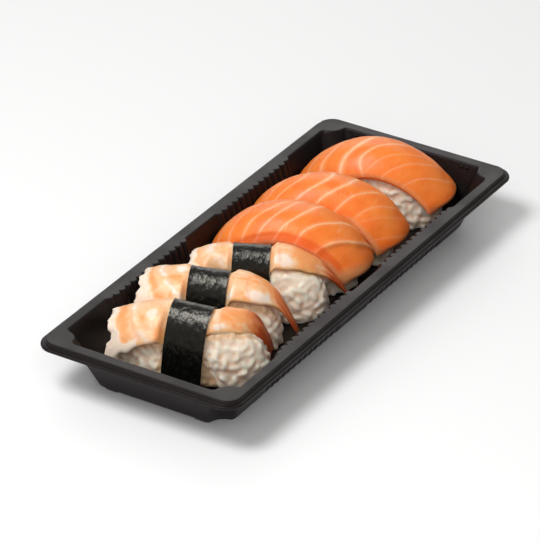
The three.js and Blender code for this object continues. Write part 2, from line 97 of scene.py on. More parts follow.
LIP_OUTSIDE = [(-0.45, 0), (-0.12, 0.12), (0, 0.42), (0.08, 1.2), (0.3, 1.45), (1.25, 1.5),
               (1.7, 1.68), (1.9, 2.1), (1.9, 2.75)]
LIP_INSIDE = [(1.4, 2.75), (1.38, 2.2), (1.15, 2.0), (-0.05, 1.95), (-0.4, 1.7), (-0.5, 0.5)]

RICE_POWER = 2.5
GRAINS = {"sunk": 0.7, "bend": 0.16, "tilt": 0.3, "cling": 16, "relief": 0.55, "hollow": 0.35}
CLEARANCE = {"floor": 0.15, "rice": 0.2, "grain": 0.3, "topping": 0.9, "rice_in_band": 1.2}
NORI_THICKNESS = 0.25
SLICE_THINS = {"ends": 0.45, "sides": 0.3}
SHRIMP_FORM = {"curl": 1.15, "head_bend": 2.2, "shift_bend": 2.5}
SHRIMP_THINS = {"tail": 0.55, "head": 0.35, "sides": 0.5}
SHRIMP_WIDTHS = [(34, 10.5), (27, 13), (14, 14.4), (0, 13.4), (-12, 11), (-20, 8.6), (-26, 4.4),
                 (-30, 2.6), (-35, 0.9)]


# ---------------------------------------------------------------- the six pieces of nigiri

Rice = namedtuple("Rice", "half_length half_width height")
Slice = namedtuple("Slice", "half_length half_width rise foot end_power side_power wrap near_end "
                            "far_end skew thickness")
Shrimp = namedtuple("Shrimp", "head tail top head_drop tail_drop tail_bend tail_shift slope "
                              "width waist droop head_droop thickness")
Band = namedtuple("Band", "middle width top near_foot far_foot turn dip flank")

# Each fat line of a slice is given by how far along it lies, -1 to 1, where it crosses these
# three places across the slice, then by its width in millimetres and its strength. A hatch is a
# patch of fine strokes: its place along and across, its size both ways and its strength.
LINE_PLACES = (-0.8, -0.3, 0.2)
# The rice below a topping's near edge gets a painted shade, reaching a given number of millimetres
# tailwards and headwards.
SalmonNigiri = namedtuple("SalmonNigiri", "name at yaw seed rice slice veil head_veil cut_edge "
                                          "belly fold hatches lines")
SALMON_NIGIRI = [
    SalmonNigiri(
        "1", (14.6, 5.4), 20, 11, Rice(27, 12, 29.4),
        Slice(34.4, 18.6, 30.0, 3.8, 1.04, 0.82, 0.83, 1.36, 1.28, -0.1, 5.6),
        veil=3, head_veil=0, cut_edge=-0.79, belly=(-0.55, 1), fold=0.5,
        hatches=[(-0.53, -0.3, 2.6, 6.5, 0.9), (-0.11, -0.65, 5, 2.5, 0.9),
                 (-0.47, -0.57, 3, 2, 0.6)],
        lines=[(0.88, 0.76, 0.6, 1.2, 0.4), (0.68, 0.54, 0.3, 1.1, 0.45),
               (0.48, 0.295, 0.02, 1.2, 0.6), (0.27, 0.09, -0.06, 0.9, 0.75),
               (0.03, -0.125, -0.235, 1.0, 0.9), (-0.21, -0.335, -0.56, 1.0, 0.9),
               (-0.48, -0.62, -0.82, 1.1, 0.8)]),
    SalmonNigiri(
        "2", (42.4, 4.9), 18, 23, Rice(27, 12.4, 29.2),
        Slice(34.5, 18.3, 30.4, 3.2, 1.01, 0.87, 0.82, 1.32, 1.28, -0.04, 5.2),
        veil=1, head_veil=0, cut_edge=-1.1, belly=(-0.3, 0), fold=0,
        hatches=[(-0.22, -0.47, 4, 3, 0.8), (-0.49, -0.39, 4, 3, 0.6)],
        lines=[(0.98, 0.62, 0.45, 1.2, 0.4), (0.8, 0.36, 0.21, 1.0, 0.7),
               (0.34, 0.06, -0.03, 1.2, 0.95), (0.03, -0.15, -0.24, 1.3, 0.9),
               (-0.215, -0.325, -0.515, 0.8, 0.75), (-0.45, -0.54, -0.74, 0.6, 0.5),
               (-0.53, -0.69, -0.87, 0.5, 0.25), (-0.82, -0.93, -1.03, 0.6, 0.3)]),
    SalmonNigiri(
        "3", (78.6, 3.5), 20, 37, Rice(27.5, 13.4, 29.2),
        Slice(35.4, 18.1, 29.4, 4.1, 1.12, 0.84, 0.81, 1.24, 1.28, 0, 5.2),
        veil=1.5, head_veil=0, cut_edge=-1.1, belly=(-2, 0), fold=0,
        hatches=[(-0.34, -0.65, 4, 3, 0.4)],
        lines=[(0.9, 0.75, 0.6, 1.3, 0.4), (0.68, 0.53, 0.4, 1.6, 0.6),
               (0.39, 0.26, 0.06, 1.9, 0.95), (0.15, 0.05, -0.36, 1.4, 0.75),
               (0.02, -0.26, -0.62, 0.7, 0.45), (-0.24, -0.465, -0.73, 0.6, 0.5),
               (-0.53, -0.71, -0.93, 0.5, 0.55)]),
]

# Places along a shrimp go from its head end at 1 to its tail at -1, and across it from -1 at its
# near edge to 1. `arch` says how strongly its stripes bow, and about which line. A stripe has a
# place, a width and a depth of orange, which is negative where it is pale. A patch has a place
# along and across, its size both ways in millimetres and its depth of orange. A crease has a
# place and a strength.
ShrimpNigiri = namedtuple("ShrimpNigiri", "name at yaw seed rice shrimp band arch tail_from swell "
                                          "skirt notch veil head_veil stripes patches creases")
SHRIMP_NIGIRI = [
    ShrimpNigiri(
        "1", (-64, 1.8), 22, 41, Rice(31, 13.4, 25.2),
        Shrimp(32.3, 30.6, 29.2, 7.3, 20.7, 6.4, 8.5, 3.9, 1.09, 0.16, 1.02, 0.3, 4.6),
        Band(-1.3, 16.5, 29.4, 16.4, 11.2, -9.5, 0.36, 1.33), arch=(0.65, 0.1),
        tail_from=-0.68, swell=3.2, skirt=1.0, notch=1.3, veil=3.5, head_veil=4,
        stripes=[(0.82, 0.045, 0.9), (0.69, 0.04, -0.5), (0.28, 0.05, -0.3)],
        patches=[(0.57, -0.5, 2.5, 3, 0.5), (0.43, -0.31, 2.2, 2.4, -1.0),
                 (0.32, -0.8, 1.8, 3.4, 0.9), (0.49, -0.61, 2, 2, 0.3), (0.5, 0.3, 4, 4, 0.3),
                 (-0.36, -0.2, 1.3, 9, -0.5), (-0.42, -0.74, 3.2, 1.8, -1.2),
                 (-0.62, 0.25, 6.5, 9, 0.7), (-0.46, -0.02, 3, 0.35, 1.2),
                 (-0.56, 0.12, 3.5, 0.3, 1.0), (-0.62, -0.75, 3, 2, -0.3)],
        creases=[(0.73, 0.3), (0.33, 0.3), (-0.39, 0.5), (-0.72, 0.4)]),
    ShrimpNigiri(
        "2", (-38.6, 7.2), 18.4, 53, Rice(27, 12.4, 25.6),
        Shrimp(30, 33.5, 29.6, 5.1, 24.1, 3.9, 2.4, 0, 1.05, 0, 0.95, 0, 4.6),
        Band(1.6, 15.8, 29.9, 12.8, 10.9, 1.6, 0.35, 0.88), arch=(1.27, 0.2),
        tail_from=-0.68, swell=0, skirt=0.8, notch=0, veil=5, head_veil=0,
        stripes=[(0.87, 0.045, 0.9), (0.72, 0.035, -0.8), (0.6, 0.06, 0.3)],
        patches=[(0.53, -0.29, 4.5, 0.9, 0.7), (0.44, 0.0, 2, 2.4, -1.0), (0.3, -0.4, 2, 5, 0.4),
                 (0.5, -0.8, 0.8, 2.5, 0.6), (-0.25, -0.75, 1.7, 2.6, -0.9),
                 (-0.57, -0.76, 5, 2.6, -1.5), (-0.34, -0.17, 3, 0.35, 1.4),
                 (-0.5, -0.13, 4, 0.35, 1.4), (-0.42, 0.45, 3, 2.5, -0.4),
                 (-0.66, 0.35, 8, 4, 0.8)],
        creases=[(0.7, 0.3), (0.55, 0.2), (-0.42, 0.4), (-0.68, 0.3)]),
    ShrimpNigiri(
        "3", (-11, 3.1), 25, 67, Rice(27, 12, 25.4),
        Shrimp(29.2, 34, 29.1, 6.6, 23, 2.8, 6.4, 0, 0.82, 0, 0.9, 0, 4.4),
        Band(3.6, 15, 28.5, 12, 11.4, 1.5, 0.1, 0.83), arch=(0.8, 0.1),
        tail_from=-0.66, swell=0, skirt=0.2, notch=0, veil=1.5, head_veil=0,
        stripes=[(0.86, 0.05, 0.4), (0.7, 0.05, -0.5), (0.54, 0.07, 0.3), (0.38, 0.05, -0.4)],
        patches=[(0.8, -0.95, 3, 2.5, 0.7), (-0.14, -0.4, 1.8, 7, 0.3),
                 (-0.27, -0.62, 4.8, 2.6, -1.4), (-0.28, 0.14, 5, 0.4, 1.2),
                 (-0.52, -0.1, 6, 5, 0.7), (-0.68, -0.57, 2, 2, -0.3)],
        creases=[(0.62, 0.25), (-0.2, 0.7), (-0.64, 0.5)]),
]


# ---------------------------------------------------------------- settings

def shade(red, green, blue):
    """A display colour, 0 to 255, as the linear colour that Blender works in."""
    parts = [value / 255 for value in (red, green, blue)]
    return tuple(p / 12.92 if p <= 0.04045 else ((p + 0.055) / 1.055) ** 2.4 for p in parts)


def colour(name, description, *display):
    return FloatVectorProperty(name=name, description=description, size=3, min=0, max=1,
                               subtype="COLOR", default=shade(*display))


def length(name, description, millimetres):
    return FloatProperty(name=name, description=description, default=millimetres * MM,
                         min=0.1 * MM, unit="LENGTH")


def amount(name, description, default, **kind):
    return FloatProperty(name=name, description=description, default=default, min=0, **kind)


class TraySettings(bpy.types.PropertyGroup):
    plastic: colour("Plastic", "Colour of the tray's sheet", 19, 16, 16)
    roughness: amount("Roughness", "Roughness of the sheet", 0.34, max=1, subtype="FACTOR")
    edge_radius: length("Edge radius", "Rounding of the formed edges", 0.75)


class SalmonSettings(bpy.types.PropertyGroup):
    flesh: colour("Flesh", "Colour of the flesh", 250, 135, 50)
    # Deep flesh: the flesh's own deeper tone in clouds, and painted shade on the cut side and low
    # down.
    deep_flesh_and_shade: colour("Deep flesh", "Colour of the cut side of a slice", 228, 84, 18)
    fat: colour("Fat", "Colour of the fat lines", 255, 196, 150)
    belly: colour("Belly", "Colour of the thin belly edge", 216, 160, 108)
    shadow: colour("Shadow", "Colour low down on the cut side", 140, 40, 6)
    line_width: length("Line width", "Width of a middling fat line", 1)


class ShrimpSettings(bpy.types.PropertyGroup):
    flesh: colour("Flesh", "Colour of the flesh between its stripes", 251, 200, 154)
    pale: colour("Pale flesh", "Colour of the palest flesh", 249, 226, 208)
    stripe: colour("Stripe", "Colour of the stripes", 249, 168, 104)
    back: colour("Back", "Colour of the back, tailwards", 251, 164, 96)
    crease: colour("Crease", "Colour of the creases", 226, 112, 50)
    tail: colour("Tail", "Colour of the tail", 196, 84, 38)
    lip: colour("Lip", "Colour of the thin near edge", 232, 188, 122)


class NoriSettings(bpy.types.PropertyGroup):
    seaweed: colour("Seaweed", "Colour of the seaweed", 8, 8, 6)
    fleck: colour("Flecks", "Colour of its thin places", 46, 50, 36)


class RiceSettings(bpy.types.PropertyGroup):
    rice: colour("Rice", "Colour of cooked rice", 255, 234, 215)
    # Crevices: a warm tone in patches, and painted shade between the grains.
    tone_and_crevice_shade: colour("Crevices", "Colour between the grains", 226, 180, 138)
    # Veil: painted warm shade on the rice just under a topping's near edge.
    veil: colour("Veil", "Colour under a topping's thin skin", 216, 176, 132)
    grain_length: length("Grain length", "Length of one cooked grain", 5.4)
    grain_width: length("Grain width", "Width of one cooked grain", 2.6)
    spacing: length("Spacing", "Distance between neighbouring grains", 2.5)
    fineness: length("Fineness", "Size of the faces of the rice's skin", 0.5)


class StageSettings(bpy.types.PropertyGroup):
    floor: colour("Floor", "Colour of the floor", 248, 248, 248)
    sky: amount("Sky", "Strength of the light from all round", 0.3)
    key: amount("Soft box", "Power of the soft box overhead", 7.2, unit="POWER")
    fill: amount("Fill", "Power of the fill light beside the camera", 6, unit="POWER")
    glow: amount("Backdrop", "Power of the glow behind the tray", 3, unit="POWER")
    lens: amount("Lens", "Focal length", 280, subtype="DISTANCE_CAMERA")


SETTINGS = {"nigiri_tray": TraySettings, "nigiri_salmon": SalmonSettings,
            "nigiri_shrimp": ShrimpSettings, "nigiri_nori": NoriSettings,
            "nigiri_rice": RiceSettings, "nigiri_stage": StageSettings}


# ---------------------------------------------------------------- shader expressions

class Value:
    """A shader socket that can be used in a Python expression."""

    def __init__(self, shader, socket):
        self.shader = shader
        self.socket = socket

    def __add__(self, other):
        return self.shader.math("ADD", self, other)

    def __sub__(self, other):
        return self.shader.math("SUBTRACT", self, other)

    def __rsub__(self, other):
        return self.shader.math("SUBTRACT", other, self)

    def __mul__(self, other):
        return self.shader.math("MULTIPLY", self, other)

    __radd__ = __add__
    __rmul__ = __mul__


class Shader:
    """A material, and the few kinds of node that these finishes need."""

    def __init__(self, name):
        self.material = bpy.data.materials.new(name)
        self.material.use_nodes = True
        self.tree = self.material.node_tree
        self.place = self.node("ShaderNodeTexCoord", output="Object")

    def node(self, kind, settings=None, inputs=None, output=0):
        made = self.tree.nodes.new(kind)
        for key, value in (settings or {}).items():
            setattr(made, key, value)
        for key, value in (inputs or {}).items():
            self.feed(made.inputs[key], value)
        return Value(self, made.outputs[output])

    def feed(self, socket, value):
        if isinstance(value, Value):
            self.tree.links.new(value.socket, socket)
        else:
            socket.default_value = (*value[:3], 1) if socket.type == "RGBA" else value

    def math(self, operation, first, second):
        return self.node("ShaderNodeMath", {"operation": operation}, {0: first, 1: second})

    def step(self, value, low, high):
        """Rises smoothly from 0 at low to 1 at high."""
        return self.node("ShaderNodeMapRange", {"interpolation_type": "SMOOTHSTEP"},
                         {"Value": value, "From Min": low, "From Max": high})

    def mix(self, first, second, factor):
        return self.node("ShaderNodeMix", {"data_type": "RGBA"},
                         {0: factor, 6: first, 7: second}, output=2)

    def masks(self, *names):
        """The values that the mesh keeps at its points under these names."""
        return [self.node("ShaderNodeAttribute", {"attribute_name": name}, output="Fac")
                for name in names]

    def sheet_place(self):
        """Where each point lies along and across its sheet, for noise that follows the sheet."""
        along, across = self.masks("along", "across")
        return self.node("ShaderNodeCombineXYZ", None, {0: along, 1: across})

    def noise(self, size, detail=2.0, roughness=0.5, stretch=(1, 1, 1), place=None):
        """Noise whose features are about `size` metres across, longer where stretched."""
        place = self.node("ShaderNodeVectorMath", {"operation": "MULTIPLY"},
                          {0: place or self.place, 1: [1 / (size * by) for by in stretch]})
        return self.node("ShaderNodeTexNoise", None, {"Vector": place, "Scale": 1.0,
                                                      "Detail": detail, "Roughness": roughness})

    def bump(self, height, distance, strength):
        return self.node("ShaderNodeBump", None,
                         {"Height": height, "Distance": distance, "Strength": strength})

    def finish(self, **sockets):
        surface = self.tree.nodes["Principled BSDF"]
        for name, value in sockets.items():
            self.feed(surface.inputs[name.replace("_", " ")], value)
        return self.material


# ---------------------------------------------------------------- mesh helpers

def signed_power(base, power):
    """A power that keeps its base's sign, as superellipses need."""
    return np.sign(base) * np.abs(base) ** power


def smooth_step(value, low, high):
    """Rises smoothly from 0 at low to 1 at high."""
    share = np.clip((value - low) / (high - low), 0, 1)
    return share * share * (3 - 2 * share)


def turned(x, y, degrees):
    """Places in a plane turned counter-clockwise round its origin."""
    angle = math.radians(degrees)
    return x * math.cos(angle) - y * math.sin(angle), x * math.sin(angle) + y * math.cos(angle)


def lattice(cells, seed):
    """A value from -1 to 1 for each cell of a lattice, always the same for the same seed."""
    mixed = (cells * np.array([374761393, 668265263, 2147483647])).sum(-1) + seed * 974634777
    mixed = (mixed ^ (mixed >> 13)) * 1274126177
    mixed = (mixed ^ (mixed >> 16)) & 0xFFFFFF
    return mixed / 0x7FFFFF - 1


def wander(points, size, seed=0):
    """Smooth noise, -1 to 1, at each point, with features about `size` across."""
    place = np.asarray(points, float) / size
    cells = np.floor(place).astype(np.int64)
    share = smooth_step(place - cells, 0, 1)
    return sum(np.where(corner, share, 1 - share).prod(-1) * lattice(cells + corner, seed)
               for corner in np.ndindex(2, 2, 2))


def make_object(name, points, faces, material, sharp=None, **attributes):
    """A smooth-shaded object at the origin from points in millimetres."""
    mesh = bpy.data.meshes.new(name)
    faces = faces.tolist() if isinstance(faces, np.ndarray) else faces
    mesh.from_pydata((np.asarray(points, float) * MM).tolist(), [], faces)
    for key, values in attributes.items():
        layer = mesh.attributes.new(key, "FLOAT", "POINT")
        layer.data.foreach_set("value", np.asarray(values, np.float32))
    mesh.shade_smooth()
    if sharp is not None:
        mesh.set_sharp_from_angle(angle=math.radians(sharp))
    mesh.materials.append(material)
    made = bpy.data.objects.new(name, mesh)
    bpy.context.scene.collection.objects.link(made)
    return made


def dress(piece, slot, *nodes):
    """Rides a piece on the tray's body in place of its solids."""
    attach(piece, "root")
    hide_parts(*nodes)


def to_tray(item, points):
    """Points of a piece's own frame in the tray's frame."""
    x, y, z = np.moveaxis(points, -1, 0)
    x, y = turned(x, y, item.yaw)
    return np.stack([item.at[0] + x, item.at[1] + y, RICE_Z + z], -1)


def to_piece(item, points):
    """Points of the tray's frame in a piece's own frame."""
    x, y, z = np.moveaxis(points, -1, 0)
    return np.stack([*turned(x - item.at[0], y - item.at[1], -item.yaw), z - RICE_Z], -1)


def quads(grid, order):
    """The four-sided faces of a grid of point numbers."""
    corners = [grid[:-1, :-1], grid[1:, :-1], grid[1:, 1:], grid[:-1, 1:]]
    return np.stack([corners[k].ravel() for k in order], -1)


def with_inner(above, below):
    """The points of a closed sheet, or values at them: all above, then those inside below."""
    depth = above.shape[2:]
    return np.concatenate([above.reshape(-1, *depth), below[1:-1, 1:-1].reshape(-1, *depth)])


def sheet_masks(both, above_only):
    """A closed sheet's masks: some the same on both its sides, the others 0 on its lower side."""
    masks = {name: with_inner(values, values) for name, values in both.items()}
    for name, values in above_only.items():
        masks[name] = with_inner(values, values * 0)
    return masks


def closed_sheet(above, below):
    """Points, faces and the rows of the points of a sheet whose two grids share their edge."""
    rows, columns = above.shape[:2]
    upper = np.arange(rows * columns).reshape(rows, columns)
    lower, row = upper.copy(), upper // columns
    inner = np.arange((rows - 2) * (columns - 2)).reshape(rows - 2, columns - 2)
    lower[1:-1, 1:-1] = rows * columns + inner
    faces = np.concatenate([quads(upper, (0, 3, 2, 1)), quads(lower, (0, 1, 2, 3))])
    return with_inner(above, below), faces, with_inner(row, row)


def rounding(place, low, high):
    """1 over most of a sheet, falling along quarter circles to 0 at its two edges."""
    into = np.where(place < 0, (low - 1 - place) / low, (place - 1 + high) / high)
    return np.sqrt(1 - np.clip(into, 0, 1) ** 2)


def draped_sheet(face, depth, relief, size, edges, plumb):
    """Places on a sheet that hangs under face(s, t), with its upper and lower points.

    The places crowd towards the sheet's edges. `relief` moves the upper side out, `edges` holds
    the share of the sheet that is rounded at its low and high end along it, then across it, and
    `plumb` is how upright its near edge is cut.
    """
    s, t = np.meshgrid(*[np.sin(np.linspace(-math.pi / 2, math.pi / 2, count)) for count in size],
                       indexing="ij")
    step = 1e-3
    down = np.cross(face(s + step, t) - face(s - step, t), face(s, t + step) - face(s, t - step))
    down /= np.linalg.norm(down, axis=-1, keepdims=True)
    lean = plumb * smooth_step(-t, 0.5, 1.0)[..., None]
    down = down * (1 - lean) + lean * np.array((0, 0, -1))
    down /= np.linalg.norm(down, axis=-1, keepdims=True)
    full = (rounding(s, *edges[:2]) * rounding(t, *edges[2:]))[..., None]
    half = (depth(s, t) / 2)[..., None]
    middle = face(s, t) + down * half
    above = middle - down * (half + relief(s, t)[..., None]) * full
    return s, t, above, middle + down * half * full


def signed_distances(points, tree):
    """How far each point is outside a closed skin, the nearest spot on it and the way out."""
    found = [tree.find_nearest(point)[:2] for point in points]
    spots, ways = np.moveaxis(np.array(found).reshape(-1, 2, 3), 1, 0)
    return ((points - spots) * ways).sum(-1), spots, ways


def close_to(points, cover, margin):
    """Which points are in a piece's box or less than a margin from it."""
    low, high = cover[1]
    return ((points > low - margin) & (points < high + margin)).all(-1)


def drawn_in(item, points, rows, covers, gap, spine=4, tries=14, pull_step=0.05, evened=9):
    """A sheet's points drawn in towards its middle line where it meets other pieces.

    `rows` numbers the places along the sheet. All points of a row and a side move together, and
    `evened` neighbouring rows much the same, so that the sheet stays smooth. Points less than
    `spine` millimetres from the middle line aren't tested.
    """
    local = to_piece(item, points)
    side = (local[:, 0] > 0).astype(int)
    outer = np.abs(local[:, 0]) > spine
    pull = np.zeros((2, rows.max() + 1))
    for _ in range(tries):
        scale = np.stack([np.convolve(line, np.full(evened, 1 / evened), "same") for line in pull])
        moved = local.copy()
        moved[:, 0] *= 1 - scale[side, rows]
        moved = to_tray(item, moved)
        before = pull.sum()
        for cover in covers:
            near = np.flatnonzero(close_to(moved, cover, gap) & outer)[::4]
            close = near[signed_distances(moved[near], cover[0])[0] < gap]
            hits = np.unique(np.stack([side[close], rows[close]], -1), axis=0)
            pull[hits[:, 0], hits[:, 1]] += pull_step
        if pull.sum() == before:
            break
    return moved


def skin_tree(piece):
    """A searchable copy of a piece's skin and its box, in millimetres."""
    mesh = piece.data
    points = np.empty(len(mesh.vertices) * 3, np.float32)
    mesh.vertices.foreach_get("co", points)
    points = points.reshape(-1, 3).astype(float) / MM
    faces = [tuple(face.vertices) for face in mesh.polygons]
    return BVHTree.FromPolygons(points.tolist(), faces), (points.min(0), points.max(0))


# ---------------------------------------------------------------- tray

def wall_quarter(half_x, half_y, depth):
    """A quarter of the wall's outline, from the middle of the long side to the short side."""
    notch, tooth = (half_y - FLUTES[key] * depth for key in ("notch", "tooth"))
    shelf = half_y - SHELF["inset"] * depth
    points = []
    for x in FLUTES["start"] + np.arange(FLUTES["count"]) * FLUTES["pitch"]:
        points += [(x, notch), (x + FLUTES["tooth_from"] * FLUTES["pitch"], tooth),
                   (x + FLUTES["tooth_to"] * FLUTES["pitch"], tooth)]
    radius, blend = SCOOP["radius"], SCOOP["blend"]
    points += [(SHELF["from"], notch), (SHELF["from"] + SHELF["rise"], shelf),
               (SHELF["to"] - SHELF["fall"], shelf), (SHELF["to"], half_y),
               (half_x - radius - blend, half_y)]
    skip = blend / radius
    for angle in np.linspace(skip, math.pi / 2 - skip, SCOOP["steps"] + 1):
        points.append((half_x - radius * math.cos(angle), half_y - radius * math.sin(angle)))
    return points + [(half_x, half_y - radius - blend)]


def curved_corners(points, radius, steps):
    """The inner corners of a line, each turned into a short curve."""
    points = np.asarray(points, float)
    curved = []
    for back, corner, on in zip(points, points[1:], points[2:]):
        start, end = (side * min(radius / np.linalg.norm(side), 0.45)
                      for side in (back - corner, on - corner))
        for share in np.arange(steps + 1) / steps:
            curved.append(corner + start * (1 - share) ** 2 + end * share ** 2)
    return curved


def level_loop(outline, radius, z):
    """A closed outline at a height, with each of its corners curved."""
    flat = np.array(curved_corners([outline[-1], *outline, outline[0]], radius, 3))
    return np.column_stack([flat, np.full(len(flat), z)])


def wall_loop(level, radius, grow=0.0):
    """The wall's outline at a level: share of the wall's height, how far out, and height."""
    share, out, z = level
    half_x, half_y = (BASE[key] + share * (CAVITY[key] - BASE[key]) + out + grow
                      for key in ("half_x", "half_y"))
    quarter = wall_quarter(half_x, half_y, FLUTES["fade"] + min(share, 1) * (1 - FLUTES["fade"]))
    back = quarter[::-1]
    clockwise = (quarter + [(x, -y) for x, y in back] + [(-x, -y) for x, y in quarter]
                 + [(-x, y) for x, y in back])
    return level_loop(clockwise[::-1], radius, z)


def rim_loop(out, z, steps=18):
    """A rounded rectangle that stands `out` beyond the flat of the flange."""
    radius = FLANGE["corner"] + out
    middle_x, middle_y = (FLANGE[key] - FLANGE["corner"] for key in ("half_x", "half_y"))
    loop = []
    for corner, (side_x, side_y) in enumerate([(1, 1), (-1, 1), (-1, -1), (1, -1)]):
        for k in range(steps + 1):
            angle = math.pi / 2 * (corner + k / steps)
            loop.append((side_x * middle_x + radius * math.cos(angle),
                         side_y * middle_y + radius * math.sin(angle), z))
    return loop


class Shell:
    """Gathers loops of points and the faces between them."""

    def __init__(self):
        self.points = []
        self.faces = []

    def loop(self, points):
        start = len(self.points)
        self.points.extend(np.asarray(points, float).tolist())
        return list(range(start, len(self.points)))

    def strips(self, loops, counter=True):
        """Joins each loop to the next. They run counter-clockwise as seen, or clockwise."""
        for lower, upper in zip(loops, loops[1:]):
            first, second = (lower, upper) if counter else (upper, lower)
            self.faces += zip(first, first[1:] + first[:1], second[1:] + second[:1], second)

    def fill(self, contour, hole=(), up=True):
        """Fills a level loop, less a hole in it, with faces that look up or down."""
        rings = [contour, hole] if hole else [contour]
        corners = [index for ring in rings for index in ring]
        for face in tessellate_polygon([[Vector(self.points[i]) for i in ring] for ring in rings]):
            indices = [corners[k] for k in face]
            a, b, c = (Vector(self.points[index]) for index in indices)
            right_way = ((b - a).cross(c - a).z > 0) == up
            self.faces.append(tuple(indices if right_way else indices[::-1]))


def wall_levels(height, base_z, fillets, rings=3, hem=0.8):
    """Levels from inside the base's edge to beyond the wall's top, with both edges curved."""
    low, high = fillets
    levels = [(0, -low - hem, base_z)]
    for share in np.arange(7) / 6:
        rise = share ** 2 * low
        levels.append((rise / height, -(1 - share) ** 2 * low, base_z + rise))
    for share in np.arange(1, rings + 1) / (rings + 1):
        levels.append((share, 0, base_z + share * height))
    for share in np.arange(6) / 5:
        rise = (1 - share) ** 2 * high
        levels.append((1 - rise / height, share ** 2 * high, base_z + height - rise))
    return levels + [(1, high + hem / 2, base_z + height)]


def tray_shell(edge_radius):
    """The formed sheet: inside, flange, lip, outside and underside, as one closed skin."""
    shell = Shell()
    inside = [shell.loop(wall_loop(level, edge_radius))
              for level in wall_levels(TRAY_HEIGHT - FLOOR, FLOOR, FILLETS["inside"])]
    shell.fill(inside[0])
    shell.strips(inside)

    profile = [(-1.2, 0), *LIP_OUTSIDE, *LIP_INSIDE]
    profile = [profile[0], *curved_corners(profile, CURVES["lip"], 2), profile[-1]]
    lip = [shell.loop(rim_loop(out, TRAY_HEIGHT - down)) for out, down in profile]
    shell.fill(lip[0], inside[-1])
    shell.strips(lip)

    levels = wall_levels(TRAY_HEIGHT - SHEET - FOOT_DROP, FOOT_DROP, FILLETS["outside"])
    outside = [shell.loop(wall_loop(level, edge_radius, SHEET)) for level in levels]
    shell.fill(lip[-1], outside[-1], up=False)
    shell.strips(outside, counter=False)
    shell.fill(outside[0], up=False)
    return shell


def add_feet(shell):
    """Four low feet under the base's corners, with softened lower edges."""
    inset = FOOT["inset"]
    quarter = wall_quarter(BASE["half_x"] - inset, BASE["half_y"] - inset, FLUTES["fade"])
    inner_x, inner_y = BASE["half_x"] - FOOT["length"], BASE["half_y"] - FOOT["width"]
    outline = [point for point in quarter if point[0] > inner_x and point[1] > inner_y]
    outline = [(inner_x, outline[0][1]), *outline, (outline[-1][0], inner_y), (inner_x, inner_y)]
    flat = level_loop(outline[::-1], CURVES["foot"], 0)
    middle = flat.mean(0)
    for sides in [(1, 1, 1), (1, -1, 1), (-1, -1, 1), (-1, 1, 1)]:
        loops = []
        for shrink, z in FOOT_LEVELS:
            level = ((middle + (flat - middle) * shrink) + (0, 0, z)) * sides
            loops.append(shell.loop(level if sides[0] == sides[1] else level[::-1]))
        shell.fill(loops[0], up=False)
        shell.strips(loops)
        shell.fill(loops[-1])


def add_lock_nubs(shell, rings=6, sides=14):
    """Pairs of small round lid locks on the short walls, just under the flange."""
    radius, below, apart, middle = (LOCK[key] for key in ("radius", "below", "apart", "middle"))
    taper = (CAVITY["half_x"] - BASE["half_x"]) * below / TRAY_HEIGHT
    wall = CAVITY["half_x"] - taper + LOCK["stands"]
    angles = 2 * math.pi * np.arange(sides) / sides
    for side_x in (1, -1):
        for y in (middle - apart, middle + apart, -middle - apart, -middle + apart):
            loops = []
            for lean in math.pi / 2 * np.arange(rings + 1) / rings:
                reach = max(radius * math.cos(lean), 0.02)
                loop = np.column_stack([
                    np.full(sides, side_x * (wall - radius * math.sin(lean))),
                    y + reach * np.cos(angles), TRAY_HEIGHT - below + reach * np.sin(angles)])
                loops.append(shell.loop(loop if side_x < 0 else loop[::-1]))
            shell.strips(loops)
            shell.faces += [tuple(loops[-1]), tuple(loops[0][::-1])]


def tray_material(settings):
    shader = Shader("formed_sheet")
    flow = shader.noise(14 * MM, detail=3, stretch=(1, 1, 0.5))
    grain = shader.noise(0.35 * MM)
    haze = shader.step(flow, 0.35, 0.7)
    colour = shader.mix(settings.plastic, [part * 1.35 for part in settings.plastic], haze * 0.6)
    height = grain * 0.35 + flow * 0.65
    return shader.finish(Base_Color=colour, Specular_IOR_Level=0.25,
                         Roughness=settings.roughness + 0.1 * haze + 0.06 * grain,
                         Specular_Tint=(1, 0.84, 0.85),
                         Normal=shader.bump(height, 0.02 * MM, 0.6))


# ---------------------------------------------------------------- salmon

def slice_face(slice_, s, t):
    """The upper face of a slice: part of a superellipsoid that bends down over the rice."""
    angle = np.where(s < 0, s * slice_.near_end, s * slice_.far_end)
    side = t * slice_.wrap
    crown = signed_power(np.cos(side), slice_.side_power)
    x = slice_.half_width * signed_power(np.sin(side), slice_.side_power)
    y = slice_.half_length * crown * signed_power(np.sin(angle), slice_.end_power)
    z = slice_.foot + slice_.rise * crown * signed_power(np.cos(angle), slice_.end_power)
    return np.stack([x, y + slice_.skew * x, z], -1)


def line_centre(line, t):
    """How far along a slice a fat line lies, at places across it."""
    a, b, c = LINE_PLACES
    near, middle, far = line[:3]
    t = np.clip(t, -1, 0.6)
    return (near * (t - b) * (t - c) / ((a - b) * (a - c))
            + middle * (t - a) * (t - c) / ((b - a) * (b - c))
            + far * (t - a) * (t - b) / ((c - a) * (c - b)))


